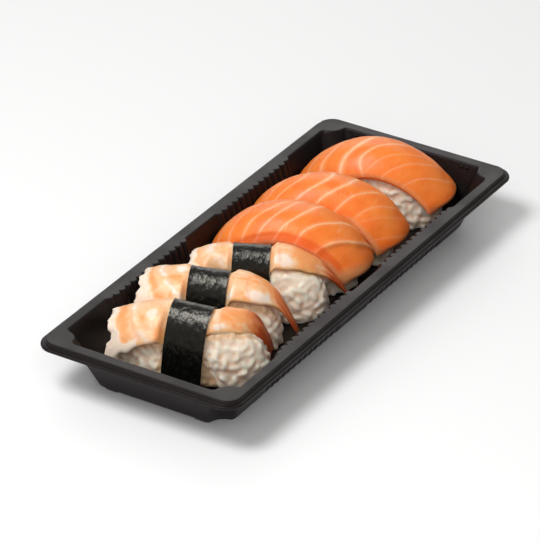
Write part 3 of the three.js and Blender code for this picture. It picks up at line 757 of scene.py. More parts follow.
def line_masks(item, s, t, length):
    """Masks that say where fat lines run.

    `phase` counts the lines tailwards and is whole on each, `room` is the distance in
    millimetres between the lines on both sides, and the others say how wide and strong they are.
    """
    s = s + 0.012 * wander(np.stack([s * 5, t * 3, 0 * s], -1), 1.0, item.seed)
    centres = [line_centre(line, t) for line in item.lines]
    centres = [centres[0] + 6 / length] + centres + [centres[-1] - 6 / length]
    phase, room = np.full_like(s, -0.5), np.full_like(s, 6.0)
    for k, (high, low) in enumerate(zip(centres, centres[1:])):
        between = (s <= high) & (s > low)
        gap = np.maximum(high - low, 0.01)
        phase = np.where(between, k - 1 + (high - s) / gap, phase)
        room = np.where(between, gap * length, room)
    steps = np.arange(-1, len(item.lines) + 1)
    widths, strengths = zip((1, 0), *[line[3:] for line in item.lines], (1, 0))
    return phase, room, np.interp(phase, steps, widths), np.interp(phase, steps, strengths)


def salmon_sheet(item, size=(124, 76)):
    """The masks that a slice's finish reads, then its points, faces and rows."""
    length, width = item.slice.half_length * 1.25, item.slice.half_width * 0.92

    def face(s, t):
        return slice_face(item.slice, s, t)

    def depth(s, t):
        return (item.slice.thickness * (1 - SLICE_THINS["ends"] * s ** 4)
                * (1 - SLICE_THINS["sides"] * t ** 4))

    def relief(s, t):
        places = face(s, t)
        swell = 0.3 * wander(places, 13, item.seed) + 0.1 * wander(places, 4, item.seed) - 0.4
        fold = (line_centre(item.lines[-1], t) - s) * length
        beyond = smooth_step(fold, 0, 2) * np.exp(-(fold / 12) ** 2)
        swell += item.fold * (np.exp(-(fold / 1.3) ** 2) - beyond)
        swell += 0.7 * smooth_step(-s, 0.75, 0.95)
        return swell - 0.3 * smooth_step(item.cut_edge - t, 0, 0.08)

    s, t, above, below = draped_sheet(face, depth, relief, size, (0.05, 0.09, 0.05, 0.12), 0.8)
    belly_from, belly_end = item.belly
    belly = 0.7 * smooth_step(-t, 0.87, 0.95) * smooth_step(belly_from - s, -0.04, 0.12)
    belly = np.maximum(belly, belly_end * smooth_step(-s - 0.125 * (t + 1), 0.74, 0.88))
    strokes = np.zeros_like(s)
    for along, across, far, wide, strength in item.hatches:
        away = ((s - along) * length / far) ** 2 + ((t - across) * width / wide) ** 2
        strokes = np.maximum(strokes, strength * np.exp(-away))
    phase, room, wide, strength = line_masks(item, s, t, length)
    masks = sheet_masks(
        {"phase": phase, "room": room, "wide": wide, "belly": belly,
         # low: how strongly painted shade deepens the flesh, more towards the bottom of the slice.
         "low": 1 - smooth_step(face(s, t)[..., 2], 2, 20),
         "along": s * length * MM, "across": t * width * MM},
        {"strength": strength, "strokes": strokes,
         # rim: where painted sheen pales the edges of the upper face.
         "rim": smooth_step(np.maximum(np.abs(s), np.abs(t)), 0.93, 0.99)})
    masks["cut"] = with_inner((item.cut_edge - t) * width, np.ones_like(t))
    return masks, *closed_sheet(above, below)


def salmon_material(settings):
    shader = Shader("raw_salmon")
    phase, room, strength, wide, cut, rim, belly, strokes, low = shader.masks(
        "phase", "room", "strength", "wide", "cut", "rim", "belly", "strokes", "low")
    sheet = shader.sheet_place()
    cloud = shader.noise(7 * MM, detail=3, roughness=0.55)
    wisp = shader.noise(2.5 * MM, stretch=(1, 3, 1), place=sheet)
    fibre = shader.noise(0.55 * MM, detail=3, roughness=0.6, stretch=(1, 9, 1), place=sheet)
    away = shader.math("PINGPONG", phase, 0.5) * room * (settings.line_width / MM)
    core = 1 - shader.step(away - wide * 0.5, -0.4, 0.35)
    halo = 1 - shader.step(away - wide * 1.2, -1.2, 1.2)
    side = shader.step(cut, -0.8, 0.8)
    fat = (core * 0.6 + halo * 0.4) * strength * (0.55 + 0.9 * wisp) * (1 - 0.7 * side)
    flesh = shader.mix(settings.flesh, settings.deep_flesh_and_shade, shader.step(cloud, 0.35, 0.7) * 0.3)
    # Painted shade: the cut side is deepened, partly its own deeper colour and partly shade. The
    # low parts are deepened for shade, and the lowest cut side gets the shadow colour.
    flesh = shader.mix(flesh, settings.deep_flesh_and_shade, shader.math("MAXIMUM", side * 0.6, low * 0.9))
    flesh = shader.mix(flesh, settings.shadow, side * low * 0.5)
    thread = shader.step(fibre, 0.48, 0.7)
    colour = shader.mix(flesh, settings.fat, thread * (0.08 + 0.5 * strokes))
    colour = shader.mix(colour, settings.fat, fat * 0.9)
    # Painted sheen: the upper face's edges paled towards the fat colour.
    colour = shader.mix(colour, settings.fat, rim * 0.25)
    colour = shader.mix(colour, settings.belly, belly * 0.65)
    height = fibre * 0.4 + cloud * 0.3 - fat * 0.5
    return shader.finish(
        Base_Color=colour, Roughness=0.36 + 0.12 * cloud, Subsurface_Weight=0.4,
        Subsurface_Radius=(1.0, 0.35, 0.12), Subsurface_Scale=2.0 * MM,
        Specular_IOR_Level=0.38, Coat_Weight=0.06, Coat_Roughness=0.3,
        Normal=shader.bump(height, 0.14 * MM, 0.8))


# ---------------------------------------------------------------- seaweed

def nori_points(band, s, t, spread):
    """Places round a band: over the topping and down both its sides to the floor."""
    angle = t * math.pi / 2
    foot = np.where(t < 0, band.near_foot, band.far_foot) + spread
    height = band.top + spread + band.dip * s
    x, y = turned(foot * np.sin(angle), s * band.width / 2, band.turn)
    z = height * np.maximum(np.cos(angle), 0) ** band.flank
    return np.stack([x, y + band.middle, z], -1)


def nori_sheet(item, rows=40, columns=150):
    """A band's points, faces and the places that its finish reads."""
    band, seed = item.band, item.seed
    s, t = np.meshgrid(np.linspace(-1, 1, rows), np.linspace(-1, 1, columns), indexing="ij")
    plain = nori_points(band, s, t, 0)
    inside = 1 - np.maximum(s ** 8, np.abs(t) ** 30)
    ruffle = 0.1 * wander(plain, 5, seed) + 0.12 * wander(plain, 1.5, seed) - 0.22
    ruffle = ruffle * inside - 0.02
    ragged = s * (1 - 0.012 - 0.012 * wander(plain, 1.6, seed + 5) * np.abs(s) ** 3)
    sides = [nori_points(band, ragged, t, ruffle - down).reshape(-1, 3)
             for down in (0, NORI_THICKNESS)]
    masks = {"along": np.tile((s * band.width / 2 * MM).ravel(), 2),
             "across": np.tile((t * 36 * MM).ravel(), 2)}
    return np.concatenate(sides), shell_faces(rows, columns), masks


def shell_faces(rows, columns):
    """Faces of a closed sheet whose upper and lower grids are joined by a thin edge."""
    above = np.arange(rows * columns).reshape(rows, columns)
    edge = np.concatenate([above[0, ::-1], above[1:, 0], above[-1, 1:], above[-2:0:-1, -1]])
    under = edge + rows * columns
    return np.concatenate([quads(above, (0, 3, 2, 1)),
                           quads(above + rows * columns, (0, 1, 2, 3)),
                           np.stack([edge, np.roll(edge, -1), np.roll(under, -1), under], -1)])


def band_places(band, points, clearance):
    """Points as their places across and along a band and up, and how far out of its arch."""
    x, y, z = np.moveaxis(points, -1, 0)
    across, along = turned(x, y - band.middle, -band.turn)
    foot = np.where(across < 0, band.near_foot, band.far_foot) - clearance
    tilt = np.clip(along / band.width * 2, -1, 1)
    height = band.top + band.dip * tilt - clearance

    def reach(scale):
        return ((scale * across / foot) ** 2
                + (scale * np.maximum(z, 0) / height) ** (2 / band.flank))

    return across, along, z, reach


def inside_band(item, points, clearance):
    """Points drawn in under the seaweed band where it is, and left as they are beside it."""
    band = item.band
    across, along, z, reach = band_places(band, points, clearance)
    low, high = np.zeros_like(z), np.ones_like(z)
    for _ in range(24):
        middle = (low + high) / 2
        outside = reach(middle) > 1
        low, high = np.where(outside, low, middle), np.where(outside, middle, high)
    beside = smooth_step(np.abs(along), band.width / 2, band.width / 2 + 2.2)
    scale = 1 + (np.where(reach(1) > 1, low, 1) - 1) * (1 - beside)
    x, y = turned(across * scale, along, band.turn)
    return np.stack([x, y + band.middle, np.where(z > 0, z * scale, z)], -1)


def meets_band(item, points, clearance):
    """Whether any of the points is in the arch under a band, or in the band."""
    _, along, _, reach = band_places(item.band, points, -clearance)
    level = np.abs(along) < item.band.width / 2 + clearance
    return bool(((reach(1) < 1) & level).any())


def nori_material(settings):
    shader = Shader("dried_seaweed")
    sheet = shader.sheet_place()
    mottle = shader.noise(2.6 * MM, detail=4, roughness=0.7, stretch=(1, 1.8, 1), place=sheet)
    flake = shader.noise(0.8 * MM, roughness=0.6, stretch=(1, 2.6, 1), place=sheet)
    thin = shader.step(mottle, 0.5, 0.72) * shader.step(flake, 0.45, 0.7)
    colour = shader.mix(settings.seaweed, settings.fleck, thin * 0.8)
    height = mottle * 0.5 + flake * 0.5
    return shader.finish(Base_Color=colour, Roughness=0.12 + 0.2 * mottle,
                         Specular_IOR_Level=0.65, Specular_Tint=(1, 0.96, 0.86),
                         Normal=shader.bump(height, 0.55 * MM, 0.8))


# ---------------------------------------------------------------- shrimp

def shrimp_half_width(shrimp, y):
    """Half width of a butterflied shrimp at a distance from its middle."""
    places, halves = zip(*SHRIMP_WIDTHS[::-1])
    tailwards = np.clip(-y / shrimp.tail, 0, 1)
    waist = 1 - 4 * shrimp.waist * tailwards * (1 - tailwards)
    return np.interp(y, places, halves) * shrimp.width * waist


def shrimp_face(shrimp, s, t):
    """The upper face of a shrimp: broad at its head end, with a pointed tail bent down."""
    y = millimetres_along(shrimp, s)
    tailwards, headwards = np.maximum(-y, 0) / shrimp.tail, np.maximum(y, 0) / shrimp.head
    half = shrimp_half_width(shrimp, y)
    angle = t * SHRIMP_FORM["curl"]
    x = half * np.sin(angle) + shrimp.tail_shift * tailwards ** SHRIMP_FORM["shift_bend"]
    back = (shrimp.top - shrimp.tail_drop * tailwards ** shrimp.tail_bend
            - shrimp.slope * tailwards - shrimp.head_drop * headwards ** SHRIMP_FORM["head_bend"])
    droop = (shrimp.droop + shrimp.head_droop * headwards) * half
    return np.stack([x, y, back - droop * (1 - np.cos(angle))], -1)


def lobed_face(item, s, t):
    """The shrimp's face with lobes along its head end and its edges."""
    side = smooth_step(np.abs(t), 0.6, 1.0) * (1 - smooth_step(-s, 0.3, 0.6))
    stretch = item.skirt * (0.24 * smooth_step(s, 0.45, 1.0) - 0.03) * (t < 0)
    rank = np.stack([s * 10 + 3 * np.sign(t), 0 * s, 0 * s], -1)
    wider = 1 + side * (0.06 * wander(rank, 1.0, item.seed) + stretch)
    points = shrimp_face(item.shrimp, s, t * wider)
    points[..., 0] += item.swell * smooth_step(-s, 0.45, 0.85) * smooth_step(t, -1, 1)
    head = smooth_step(s, 0.8, 1.0)
    lobes = np.abs(np.sin(t * 5.2 + item.seed))
    points[..., 1] += head * (1.5 * lobes ** 0.6 - 1.6 + 0.5 * wander(points, 1.3, item.seed + 3))
    points[..., 1] -= item.notch * head * np.exp(-((t + 0.72) / 0.1) ** 2)
    return points


def millimetres_along(shrimp, s):
    return np.where(s < 0, s * shrimp.tail, s * shrimp.head)


def shrimp_tone(item, s, t):
    """How orange the flesh is, from -1 where it is palest to 1, and how creased."""
    seed = item.seed
    y = millimetres_along(item.shrimp, s)
    half = shrimp_half_width(item.shrimp, y)
    places = np.stack([y, t * half, 0 * y], -1)
    bow, middle = item.arch
    bend = bow * (t - middle) ** 2
    place = np.where(s > 0, (s + bend) / (1 + bend), s + 0.04 * (t - middle) ** 2)
    place += 0.02 * wander(places, 3.5, seed)
    tone = 0.25 * wander(places, 5, seed + 1) + 0.2 * wander(places, 2, seed + 2)
    tone += 0.1 + 0.3 * smooth_step(-s, 0.1, 0.5)
    for middle, width, depth in item.stripes:
        fade = 1 + 0.5 * wander(places, 4, seed + int(middle * 100))
        tone += depth * fade * np.exp(-((place - middle) / width) ** 2)
    for along, across, length, width, depth in item.patches:
        away = np.hypot((y - millimetres_along(item.shrimp, along)) / length,
                        (t - across) * half / width)
        away *= 1 + 0.35 * wander(places, 1.6, seed + 11)
        tone += depth * (1 - smooth_step(away, 0.3, 1.5))
    margin = smooth_step(place + 0.03 * wander(places, 2.5, seed + 6), 0.87, 0.93)
    ragged = 0.1 * wander(places, 3, seed + 7)
    edge = 0.92 - 0.85 * np.clip(s - 0.5, 0, 1)
    skirt = smooth_step(-t + ragged, edge, edge + 0.1) * smooth_step(s, 0, 0.3) * item.skirt
    white = np.maximum(margin, skirt)
    tone = tone * (1 - white) - 0.85 * white
    crease = np.zeros_like(s)
    for middle, strength in item.creases:
        line = np.exp(-((place - middle) / 0.015) ** 2)
        crease = np.maximum(crease, line * strength * (0.6 + 0.6 * wander(places, 3, seed + 9)))
    return np.clip(tone, -1, 1), np.clip(crease, 0, 1)


def shrimp_sheet(item, size=(150, 92)):
    """The masks that a shrimp's finish reads, then its points, faces and rows."""
    def face(s, t):
        return lobed_face(item, s, t)

    def depth(s, t):
        along = np.where(s < 0, SHRIMP_THINS["tail"] * -s ** 3, SHRIMP_THINS["head"] * s ** 3)
        return item.shrimp.thickness * (1 - along) * (1 - SHRIMP_THINS["sides"] * t ** 4)

    def relief(s, t):
        points = shrimp_face(item.shrimp, s, t)
        tone, crease = shrimp_tone(item, s, t)
        uneven = 0.25 * wander(points, 6, item.seed) + 0.1 * wander(points, 2.2, item.seed)
        head = smooth_step(s, 0.8, 1.0) * 0.3 * wander(points, 1.6, item.seed + 4)
        return uneven - 0.12 * tone - 0.3 * crease + head - 0.3

    s, t, above, below = draped_sheet(face, depth, relief, size, (0.05, 0.04, 0.08, 0.16), 0.3)
    tone, crease = shrimp_tone(item, s, t)
    y = millimetres_along(item.shrimp, s)
    tail = smooth_step(item.tail_from - s + 0.06 * t, -0.05, 0.2)
    tail *= 1 + 0.5 * wander(np.stack([y, t * 12, 0 * y], -1), 2.5, item.seed + 8)
    masks = sheet_masks({"tone": tone, "tail": np.clip(tail, 0, 1),
                         "lip": smooth_step(-t, 0.8, 0.95) * smooth_step(-s, 0.2, 0.45),
                         "back": smooth_step(-s, 0.28, 0.45), "along": y * MM,
                         "across": t * 13 * MM}, {"crease": crease})
    points, faces, rows = closed_sheet(above, below)
    return masks, inside_band(item, points, CLEARANCE["topping"]), faces, rows


def shrimp_material(settings):
    shader = Shader("cooked_shrimp")
    tone, crease, tail, lip, back = shader.masks("tone", "crease", "tail", "lip", "back")
    cloud = shader.noise(2.0 * MM, detail=4, roughness=0.6)
    fibre = shader.noise(0.6 * MM, detail=3, roughness=0.6, stretch=(5, 1, 1),
                         place=shader.sheet_place())
    tone = tone + (cloud - 0.5) * 1.2 + (fibre - 0.5) * (0.5 + 0.9 * back)
    orange = shader.mix(settings.stripe, settings.back, back)
    colour = shader.mix(settings.flesh, orange, shader.step(tone, -0.1, 1.0))
    colour = shader.mix(colour, settings.pale, shader.step(tone, 0.0, -0.8))
    colour = shader.mix(colour, settings.crease, crease * 0.75)
    colour = shader.mix(colour, settings.lip, lip * 0.5)
    streaks = tail + (fibre - 0.5) * 0.5 * tail
    colour = shader.mix(colour, settings.crease, shader.step(streaks, 0.1, 0.5) * 0.7)
    colour = shader.mix(colour, settings.tail, shader.step(streaks, 0.45, 1.05))
    height = cloud * 0.4 + fibre * 0.6
    return shader.finish(
        Base_Color=colour, Roughness=0.3 + 0.15 * cloud, Subsurface_Weight=0.4,
        Subsurface_Radius=(1.0, 0.55, 0.3), Subsurface_Scale=1.8 * MM,
        Specular_IOR_Level=0.45, Coat_Weight=0.1, Coat_Roughness=0.25,
        Normal=shader.bump(height, 0.16 * MM, 0.7))


# ---------------------------------------------------------------- rice

def dome_faces(rings, sides, first=0):
    """Faces between rings of points, and from the last ring to the one point after it."""
    around = [(i, (i + 1) % sides) for i in range(sides)]
    last = first + (rings - 1) * sides
    return [(a + i, a + j, a + sides + j, a + sides + i) for a in range(first, last, sides)
            for i, j in around] + [(last + i, last + j, last + sides) for i, j in around]


def rice_core(rice, rings=18, sides=56):
    """The pressed block under the grains, as points and faces of its own frame."""
    power = 2 / RICE_POWER
    angles = 2 * math.pi * np.arange(sides) / sides
    points = []
    for rise in math.pi / 2 * np.arange(rings) / rings:
        out = math.cos(rise) ** power
        points.append(np.stack([rice.half_width * out * signed_power(np.cos(angles), power),
                                rice.half_length * out * signed_power(np.sin(angles), power),
                                np.full(sides, rice.height * math.sin(rise) ** power)], -1))
    points.append([[0, 0, rice.height]])
    return np.concatenate(points), dome_faces(rings, sides) + [tuple(range(sides))[::-1]]


def grain_form(rings=6, sides=9):
    """One plump grain of unit length and width, as points and faces."""
    angles = 2 * math.pi * np.arange(sides) / sides
    points = [[[0, -0.5, 0]]]
    for k in range(1, rings + 1):
        along = -math.cos(math.pi * k / (rings + 1))
        thick = 0.5 * (1 - abs(along) ** 2.4) ** 0.5
        points.append(np.stack([thick * np.cos(angles), np.full(sides, 0.5 * along),
                                thick * np.sin(angles)], -1))
    points.append([[0, 0.5, 0]])
    faces = [(0, 1 + (i + 1) % sides, 1 + i) for i in range(sides)]
    return np.concatenate(points), faces + dome_faces(rings, sides, 1)


def scatter(points, faces, spacing, random):
    """Places spread evenly over a skin, no two closer than `spacing`, and the way out there."""
    corners = np.array([points[[face[0], face[k], face[k + 1]]]
                        for face in faces for k in range(1, len(face) - 1)])
    normals = np.cross(corners[:, 1] - corners[:, 0], corners[:, 2] - corners[:, 0])
    areas = np.linalg.norm(normals, axis=1) / 2
    normals /= np.maximum(2 * areas, 1e-9)[:, None]
    tries = int(areas.sum() / spacing ** 2 * 6)
    picks = random.choice(len(areas), tries, p=areas / areas.sum())
    weights = random.dirichlet((1, 1, 1), tries)
    places = np.einsum("nk,nkd->nd", weights, corners[picks])
    kept, cells = [], {}
    for index, place in enumerate(places):
        cell = (place // spacing).astype(int)
        near = [other for step in np.ndindex(3, 3, 3)
                for other in cells.get(tuple(cell + step - 1), ())]
        if all(np.linalg.norm(places[other] - place) >= spacing for other in near):
            cells.setdefault(tuple(cell), []).append(index)
            kept.append(index)
    return places[kept], normals[picks[kept]]


def into_tray(points):
    """Points drawn in from the tray's walls and up from its floor."""
    x, y, z = np.moveaxis(points, -1, 0)
    z = np.maximum(z, FLOOR + CLEARANCE["floor"])
    share = np.clip((z - FLOOR) / (TRAY_HEIGHT - FLOOR), 0, 1)
    fluted = FLUTES["tooth"] * (FLUTES["fade"] + share * (1 - FLUTES["fade"]))
    room_x, room_y = (np.where(z > TRAY_HEIGHT, np.inf,
                               BASE[key] + share * (CAVITY[key] - BASE[key]) - GAP - teeth)
                      for key, teeth in (("half_x", 0), ("half_y", fluted)))
    return np.stack([np.clip(x, -room_x, room_x), np.clip(y, -room_y, room_y), z], -1)


def loose_grain(form, place, normal, settings, random):
    """A grain's points where it lies on a block, a little bent and turned at random."""
    length, width = settings.grain_length / MM, settings.grain_width / MM
    turn = Vector((0, 0, 1)).rotation_difference(Vector(normal))
    turn = turn @ Quaternion((0, 0, 1), random.uniform(0, math.pi))
    turn = turn @ Quaternion((1, 0, 0), random.normal(0, GRAINS["tilt"]))
    bent = form + np.outer(form[:, 1] ** 2, (GRAINS["bend"], 0, 0))
    grain = bent * (width * random.uniform(0.9, 1.05), length * random.uniform(0.85, 1.12),
                    width * 0.92)
    return grain @ np.array(turn.to_matrix()).T + place + normal * random.uniform(-0.8, 0.1)


def merged(points, faces, fineness):
    """The one skin round all the bodies given, in millimetres, with four-sided faces."""
    mesh = bpy.data.meshes.new("bodies")
    mesh.from_pydata((points * MM).tolist(), [], faces)
    bodies = bpy.data.objects.new("bodies", mesh)
    bpy.context.scene.collection.objects.link(bodies)
    skin = bodies.modifiers.new("skin", "REMESH")
    skin.mode = "VOXEL"
    skin.voxel_size = fineness
    result = bodies.evaluated_get(bpy.context.evaluated_depsgraph_get()).to_mesh()
    places = np.empty(len(result.vertices) * 3, np.float32)
    result.vertices.foreach_get("co", places)
    corners = np.empty(len(result.loops), np.int32)
    result.loops.foreach_get("vertex_index", corners)
    bpy.data.objects.remove(bodies)
    bpy.data.meshes.remove(mesh)
    return places.reshape(-1, 3).astype(float) / MM, corners.reshape(-1, 4)


def relaxed(points, faces, rounds):
    """Points moved towards the middle of their neighbours, so that grains cling together."""
    start, end = faces.ravel(), np.roll(faces, -1, 1).ravel()
    count = np.bincount(start, minlength=len(points))[:, None]
    for _ in range(rounds):
        total = [np.bincount(start, points[end, k], len(points)) for k in range(3)]
        points = 0.4 * points + 0.6 * np.stack(total, -1) / count
    return points


def grain_bodies(item, neighbours, settings):
    """A block's core and its grains, less those in a neighbour's band, in the tray's frame."""
    random = np.random.default_rng(item.seed)
    core, faces = rice_core(Rice(*(size - GRAINS["sunk"] for size in item.rice)))
    places, normals = scatter(core, faces[:-1], settings.spacing / MM, random)
    bodies, count = [to_tray(item, core)], len(core)
    form, form_faces = grain_form()
    gap = CLEARANCE["grain"]
    for place, normal in zip(places, normals):
        grain = to_tray(item, loose_grain(form, place, normal, settings, random))
        if not any(meets_band(other, to_piece(other, grain), gap) for other in neighbours):
            bodies.append(grain)
            faces += [tuple(index + count for index in face) for face in form_faces]
            count += len(grain)
    return np.concatenate(bodies), faces


def rice_block(item, cover, others, neighbours, settings):
    """A block of rice under its topping, in the tray's frame, as points, faces and masks."""
    points, faces = merged(*grain_bodies(item, neighbours, settings), settings.fineness)
    grainy = relaxed(points, faces, 1)
    smooth = relaxed(grainy, faces, GRAINS["cling"])
    points = smooth + (grainy - smooth) * GRAINS["relief"]
    out = points - to_tray(item, np.zeros((1, 3)))
    out /= np.linalg.norm(out, axis=1, keepdims=True)
    # How deep each point lies under the smoothed skin, which sets the painted shade between the
    # grains.
    hollow = ((smooth - grainy) * out).sum(-1)
    rows = (to_piece(item, points)[:, 1] * 2).astype(int)
    points = drawn_in(item, points, rows - rows.min(), others, CLEARANCE["rice"])
    points = pressed_under(into_tray(points), cover)
    if hasattr(item, "band"):
        clearance = CLEARANCE["rice_in_band"]
        points = to_tray(item, inside_band(item, to_piece(item, points), clearance))
    points, veil = below_edge(item, points, cover)
    return points, faces, {"hollow": np.clip(hollow / GRAINS["hollow"], 0, 1), "veil": veil}


def pressed_under(points, cover):
    """Points pushed down under their topping, and out of it where they are just inside."""
    points = points.copy()
    near = np.flatnonzero(close_to(points, cover, 1))
    away, spots, ways = signed_distances(points[near], cover[0])
    above = (away > 0) & (away < 3) & (ways[:, 2] > 0.25)
    inside = (away < 0.1) & (away > -1.5) & ~above
    points[near[above]] = spots[above] - ways[above] * 0.8
    points[near[inside]] = spots[inside] + ways[inside] * 0.1
    return points


def below_edge(item, points, cover):
    """Points kept below the edge of their own topping, and how much painted shade they get just
    under it.
    """
    points, veil = points.copy(), np.zeros(len(points))
    near = np.flatnonzero(close_to(points, cover, 5))
    away, spots, _ = signed_distances(points[near], cover[0])
    close = (away > 0) & (away < 3)
    ceiling = spots[:, 2] - 0.4 + 0.6 * away
    points[near[close], 2] = np.minimum(points[near[close], 2], ceiling[close])
    x, y, _ = to_piece(item, points[near]).T
    # The painted shade reaches this far under the topping's near edge, tailwards and headwards.
    reach = np.maximum(smooth_step(-y, 2, 6) * item.veil,
                       smooth_step(y, 2, 6) * item.head_veil) + 0.01
    veil[near] = (1 - smooth_step(away, reach * 0.5, reach)) * (x < 0)
    return points, veil


def rice_material(settings):
    shader = Shader("cooked_rice")
    hollow, veil = shader.masks("hollow", "veil")
    cloud = shader.noise(3.5 * MM)
    fine = shader.noise(0.45 * MM)
    warm = shader.mix(settings.rice, settings.tone_and_crevice_shade, 0.3)
    colour = shader.mix(settings.rice, warm, shader.step(cloud, 0.4, 0.75))
    # Painted shade in the hollows between grains.
    colour = shader.mix(colour, settings.tone_and_crevice_shade, hollow * 0.7)
    # Painted warm shade on the rice just under its topping's near edge.
    colour = shader.mix(colour, settings.veil, veil * 0.75)
    height = cloud * 0.3 + fine * 0.7
    return shader.finish(
        Base_Color=colour, Roughness=0.46 + 0.12 * fine, Subsurface_Weight=0.85,
        Subsurface_Radius=(1.0, 0.8, 0.6), Subsurface_Scale=2.4 * MM,
        Specular_IOR_Level=0.32, Normal=shader.bump(height, 0.05 * MM, 0.6))


# ---------------------------------------------------------------- operators

class NIGIRI_OT_tray(bpy.types.Operator):
    """Makes the formed tray with its flange, lip, feet and lid locks"""
    bl_idname = "nigiri.tray"
    bl_label = "Tray"

    def execute(self, context):
        settings = context.scene.nigiri_tray
        shell = tray_shell(settings.edge_radius / MM)
        add_feet(shell)
        add_lock_nubs(shell)
        tray = make_object("formed_tray", shell.points, shell.faces, tray_material(settings), 50)
        dress(tray, "tray", "tray")
        return {"FINISHED"}


def lay_toppings(kind, prefix, items, sheet, material, before):
    """Makes the toppings of a kind, each drawn in from those that were laid before it."""
    for item in items:
        masks, points, faces, rows = sheet(item)
        points = into_tray(drawn_in(item, to_tray(item, points), rows, before, GAP))
        piece = make_object(f"{prefix}_{item.name}", points, faces, material, **masks)
        dress(piece, kind, f"{kind}_{item.name}")
        before.append(skin_tree(piece))
    return {"FINISHED"}


class NIGIRI_OT_salmon(bpy.types.Operator):
    """Makes the three slices of salmon"""
    bl_idname = "nigiri.salmon"
    bl_label = "Salmon"

    def execute(self, context):
        material = salmon_material(context.scene.nigiri_salmon)
        return lay_toppings("salmon", "salmon_slice", SALMON_NIGIRI, salmon_sheet, material, [])


class NIGIRI_OT_shrimp(bpy.types.Operator):
    """Makes the three butterflied shrimp"""
    bl_idname = "nigiri.shrimp"
    bl_label = "Shrimp"

    def execute(self, context):
        material = shrimp_material(context.scene.nigiri_shrimp)
        before = [skin_tree(bpy.data.objects["salmon_slice_1"])]
        return lay_toppings("shrimp", "shrimp_tail", SHRIMP_NIGIRI, shrimp_sheet, material, before)


class NIGIRI_OT_nori(bpy.types.Operator):
    """Makes the three bands of seaweed"""
    bl_idname = "nigiri.nori"
    bl_label = "Seaweed"

    def execute(self, context):
        material = nori_material(context.scene.nigiri_nori)
        for item in SHRIMP_NIGIRI:
            points, faces, masks = nori_sheet(item)
            points = into_tray(to_tray(item, points))
            piece = make_object(f"seaweed_band_{item.name}", points, faces, material, 50, **masks)
            dress(piece, "nori", f"nori_band_{item.name}")
        return {"FINISHED"}


class NIGIRI_OT_rice(bpy.types.Operator):
    """Makes the six blocks of rice, grain by grain"""
    bl_idname = "nigiri.rice"
    bl_label = "Rice"

    def execute(self, context):
        settings = context.scene.nigiri_rice
        material = rice_material(settings)
        covers = {piece.name: skin_tree(piece) for piece in bpy.data.objects
                  if piece.name.startswith(("salmon_slice_", "shrimp_tail_"))}
        for kind, prefix, items in (("salmon", "salmon_slice", SALMON_NIGIRI),
                                    ("shrimp", "shrimp_tail", SHRIMP_NIGIRI)):
            for item in items:
                neighbours = [other for other in SHRIMP_NIGIRI if other is not item]
                cover = covers[f"{prefix}_{item.name}"]
                others = [other for other in covers.values() if other is not cover]
                points, faces, masks = rice_block(item, cover, others, neighbours, settings)
                name = f"rice_grains_{kind}_{item.name}"
                piece = make_object(name, points, faces, material, **masks)
                dress(piece, "rice", f"rice_{kind}_{item.name}")
        return {"FINISHED"}


class NIGIRI_OT_stage(bpy.types.Operator):
    """Makes the floor, the soft lights and the camera"""
    bl_idname = "nigiri.stage"
    bl_label = "Stage"

    def execute(self, context):
        settings = context.scene.nigiri_stage
        add_floor(settings)
        add_lights(context.scene, settings)
        add_camera(context.scene, settings)
        return {"FINISHED"}


def add_floor(settings, size=2000):
    corners = [(-size, -size, 0), (size, -size, 0), (size, size, 0), (-size, size, 0)]
    shader = Shader("pale_floor")
    cloud = shader.noise(0.3, detail=1)
    colour = shader.mix(settings.floor, [part * 0.99 for part in settings.floor], cloud)
    material = shader.finish(Base_Color=colour, Roughness=0.9, Specular_IOR_Level=0.1)
    make_object("floor", corners, [(0, 1, 2, 3)], material)


def place_in(scene, name, data, place, way):
    """Puts a lamp or a camera at a place in metres, looking a way."""
    made = bpy.data.objects.new(name, data)
    made.location = place
    made.rotation_mode = "QUATERNION"
    made.rotation_quaternion = Vector(way).to_track_quat("-Z", "Y")
    scene.collection.objects.link(made)
    return made


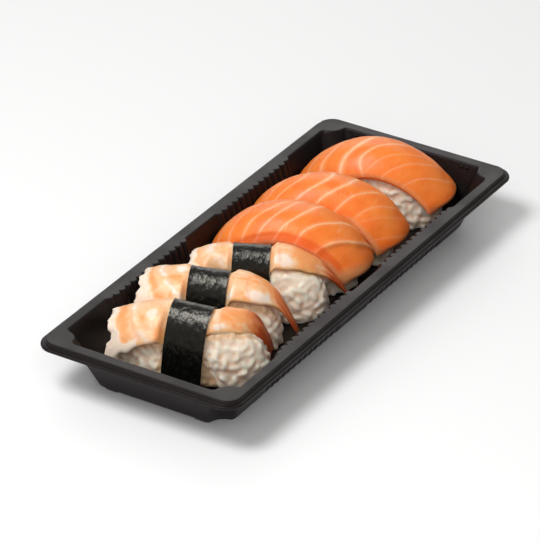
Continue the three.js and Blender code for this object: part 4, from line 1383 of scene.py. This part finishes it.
def add_lights(scene, settings):
    world = bpy.data.worlds.new("soft_sky")
    world.use_nodes = True
    background = world.node_tree.nodes["Background"]
    background.inputs["Color"].default_value = (1, 0.985, 0.97, 1)
    background.inputs["Strength"].default_value = settings.sky
    scene.world = world
    for name, way, distance, size, power in (
            ("soft_box", (-0.44, 0.2, 0.88), 1.1, 0.42, settings.key),
            ("fill_box", (-0.72, -0.44, 0.54), 1.2, 1.1, settings.fill),
            ("backdrop_glow", (0.73, 0.455, 0.507), 1.2, 0.7, settings.glow)):
        light = bpy.data.lights.new(name, "AREA")
        light.energy, light.size = power, size
        lamp = place_in(scene, name, light, Vector(way).normalized() * distance, -Vector(way))
        lamp.visible_glossy = name != "fill_box"


CAMERA = {"place": (-1.21866, -0.75200, 0.85570), "azimuth": 31.88, "down": 30.44}


def add_camera(scene, settings):
    data = bpy.data.cameras.new("camera")
    data.lens, data.sensor_width = settings.lens, 36
    data.clip_start, data.clip_end = 0.05, 20
    azimuth, down = (math.radians(CAMERA[key]) for key in ("azimuth", "down"))
    looks = (math.cos(azimuth) * math.cos(down), math.sin(azimuth) * math.cos(down),
             -math.sin(down))
    scene.camera = place_in(scene, "camera", data, CAMERA["place"], looks)
    scene.view_settings.view_transform = "Standard"


OPERATORS = (NIGIRI_OT_tray, NIGIRI_OT_salmon, NIGIRI_OT_shrimp, NIGIRI_OT_nori,
             NIGIRI_OT_rice, NIGIRI_OT_stage)


class NIGIRI_PT_panel(bpy.types.Panel):
    """Lists the settings and the operators"""
    bl_idname = "NIGIRI_PT_panel"
    bl_label = "Nigiri Tray"
    bl_space_type = "VIEW_3D"
    bl_region_type = "UI"
    bl_category = "Nigiri"

    def draw(self, context):
        for (name, group), operator in zip(SETTINGS.items(), OPERATORS):
            box = self.layout.box()
            for key in group.__annotations__:
                box.prop(getattr(context.scene, name), key)
            box.operator(operator.bl_idname)


CLASSES = (*SETTINGS.values(), *OPERATORS, NIGIRI_PT_panel)


def register():
    for item in CLASSES:
        bpy.utils.register_class(item)
    for name, group in SETTINGS.items():
        setattr(bpy.types.Scene, name, PointerProperty(type=group))


def unregister():
    for name in SETTINGS:
        delattr(bpy.types.Scene, name)
    for item in reversed(CLASSES):
        bpy.utils.unregister_class(item)


def main():
    register()
    bpy.ops.nigiri.tray()
    bpy.ops.nigiri.salmon()
    bpy.ops.nigiri.shrimp()
    bpy.ops.nigiri.nori()
    bpy.ops.nigiri.rice()
    bpy.ops.nigiri.stage()


if __name__ == "__main__":
    main()
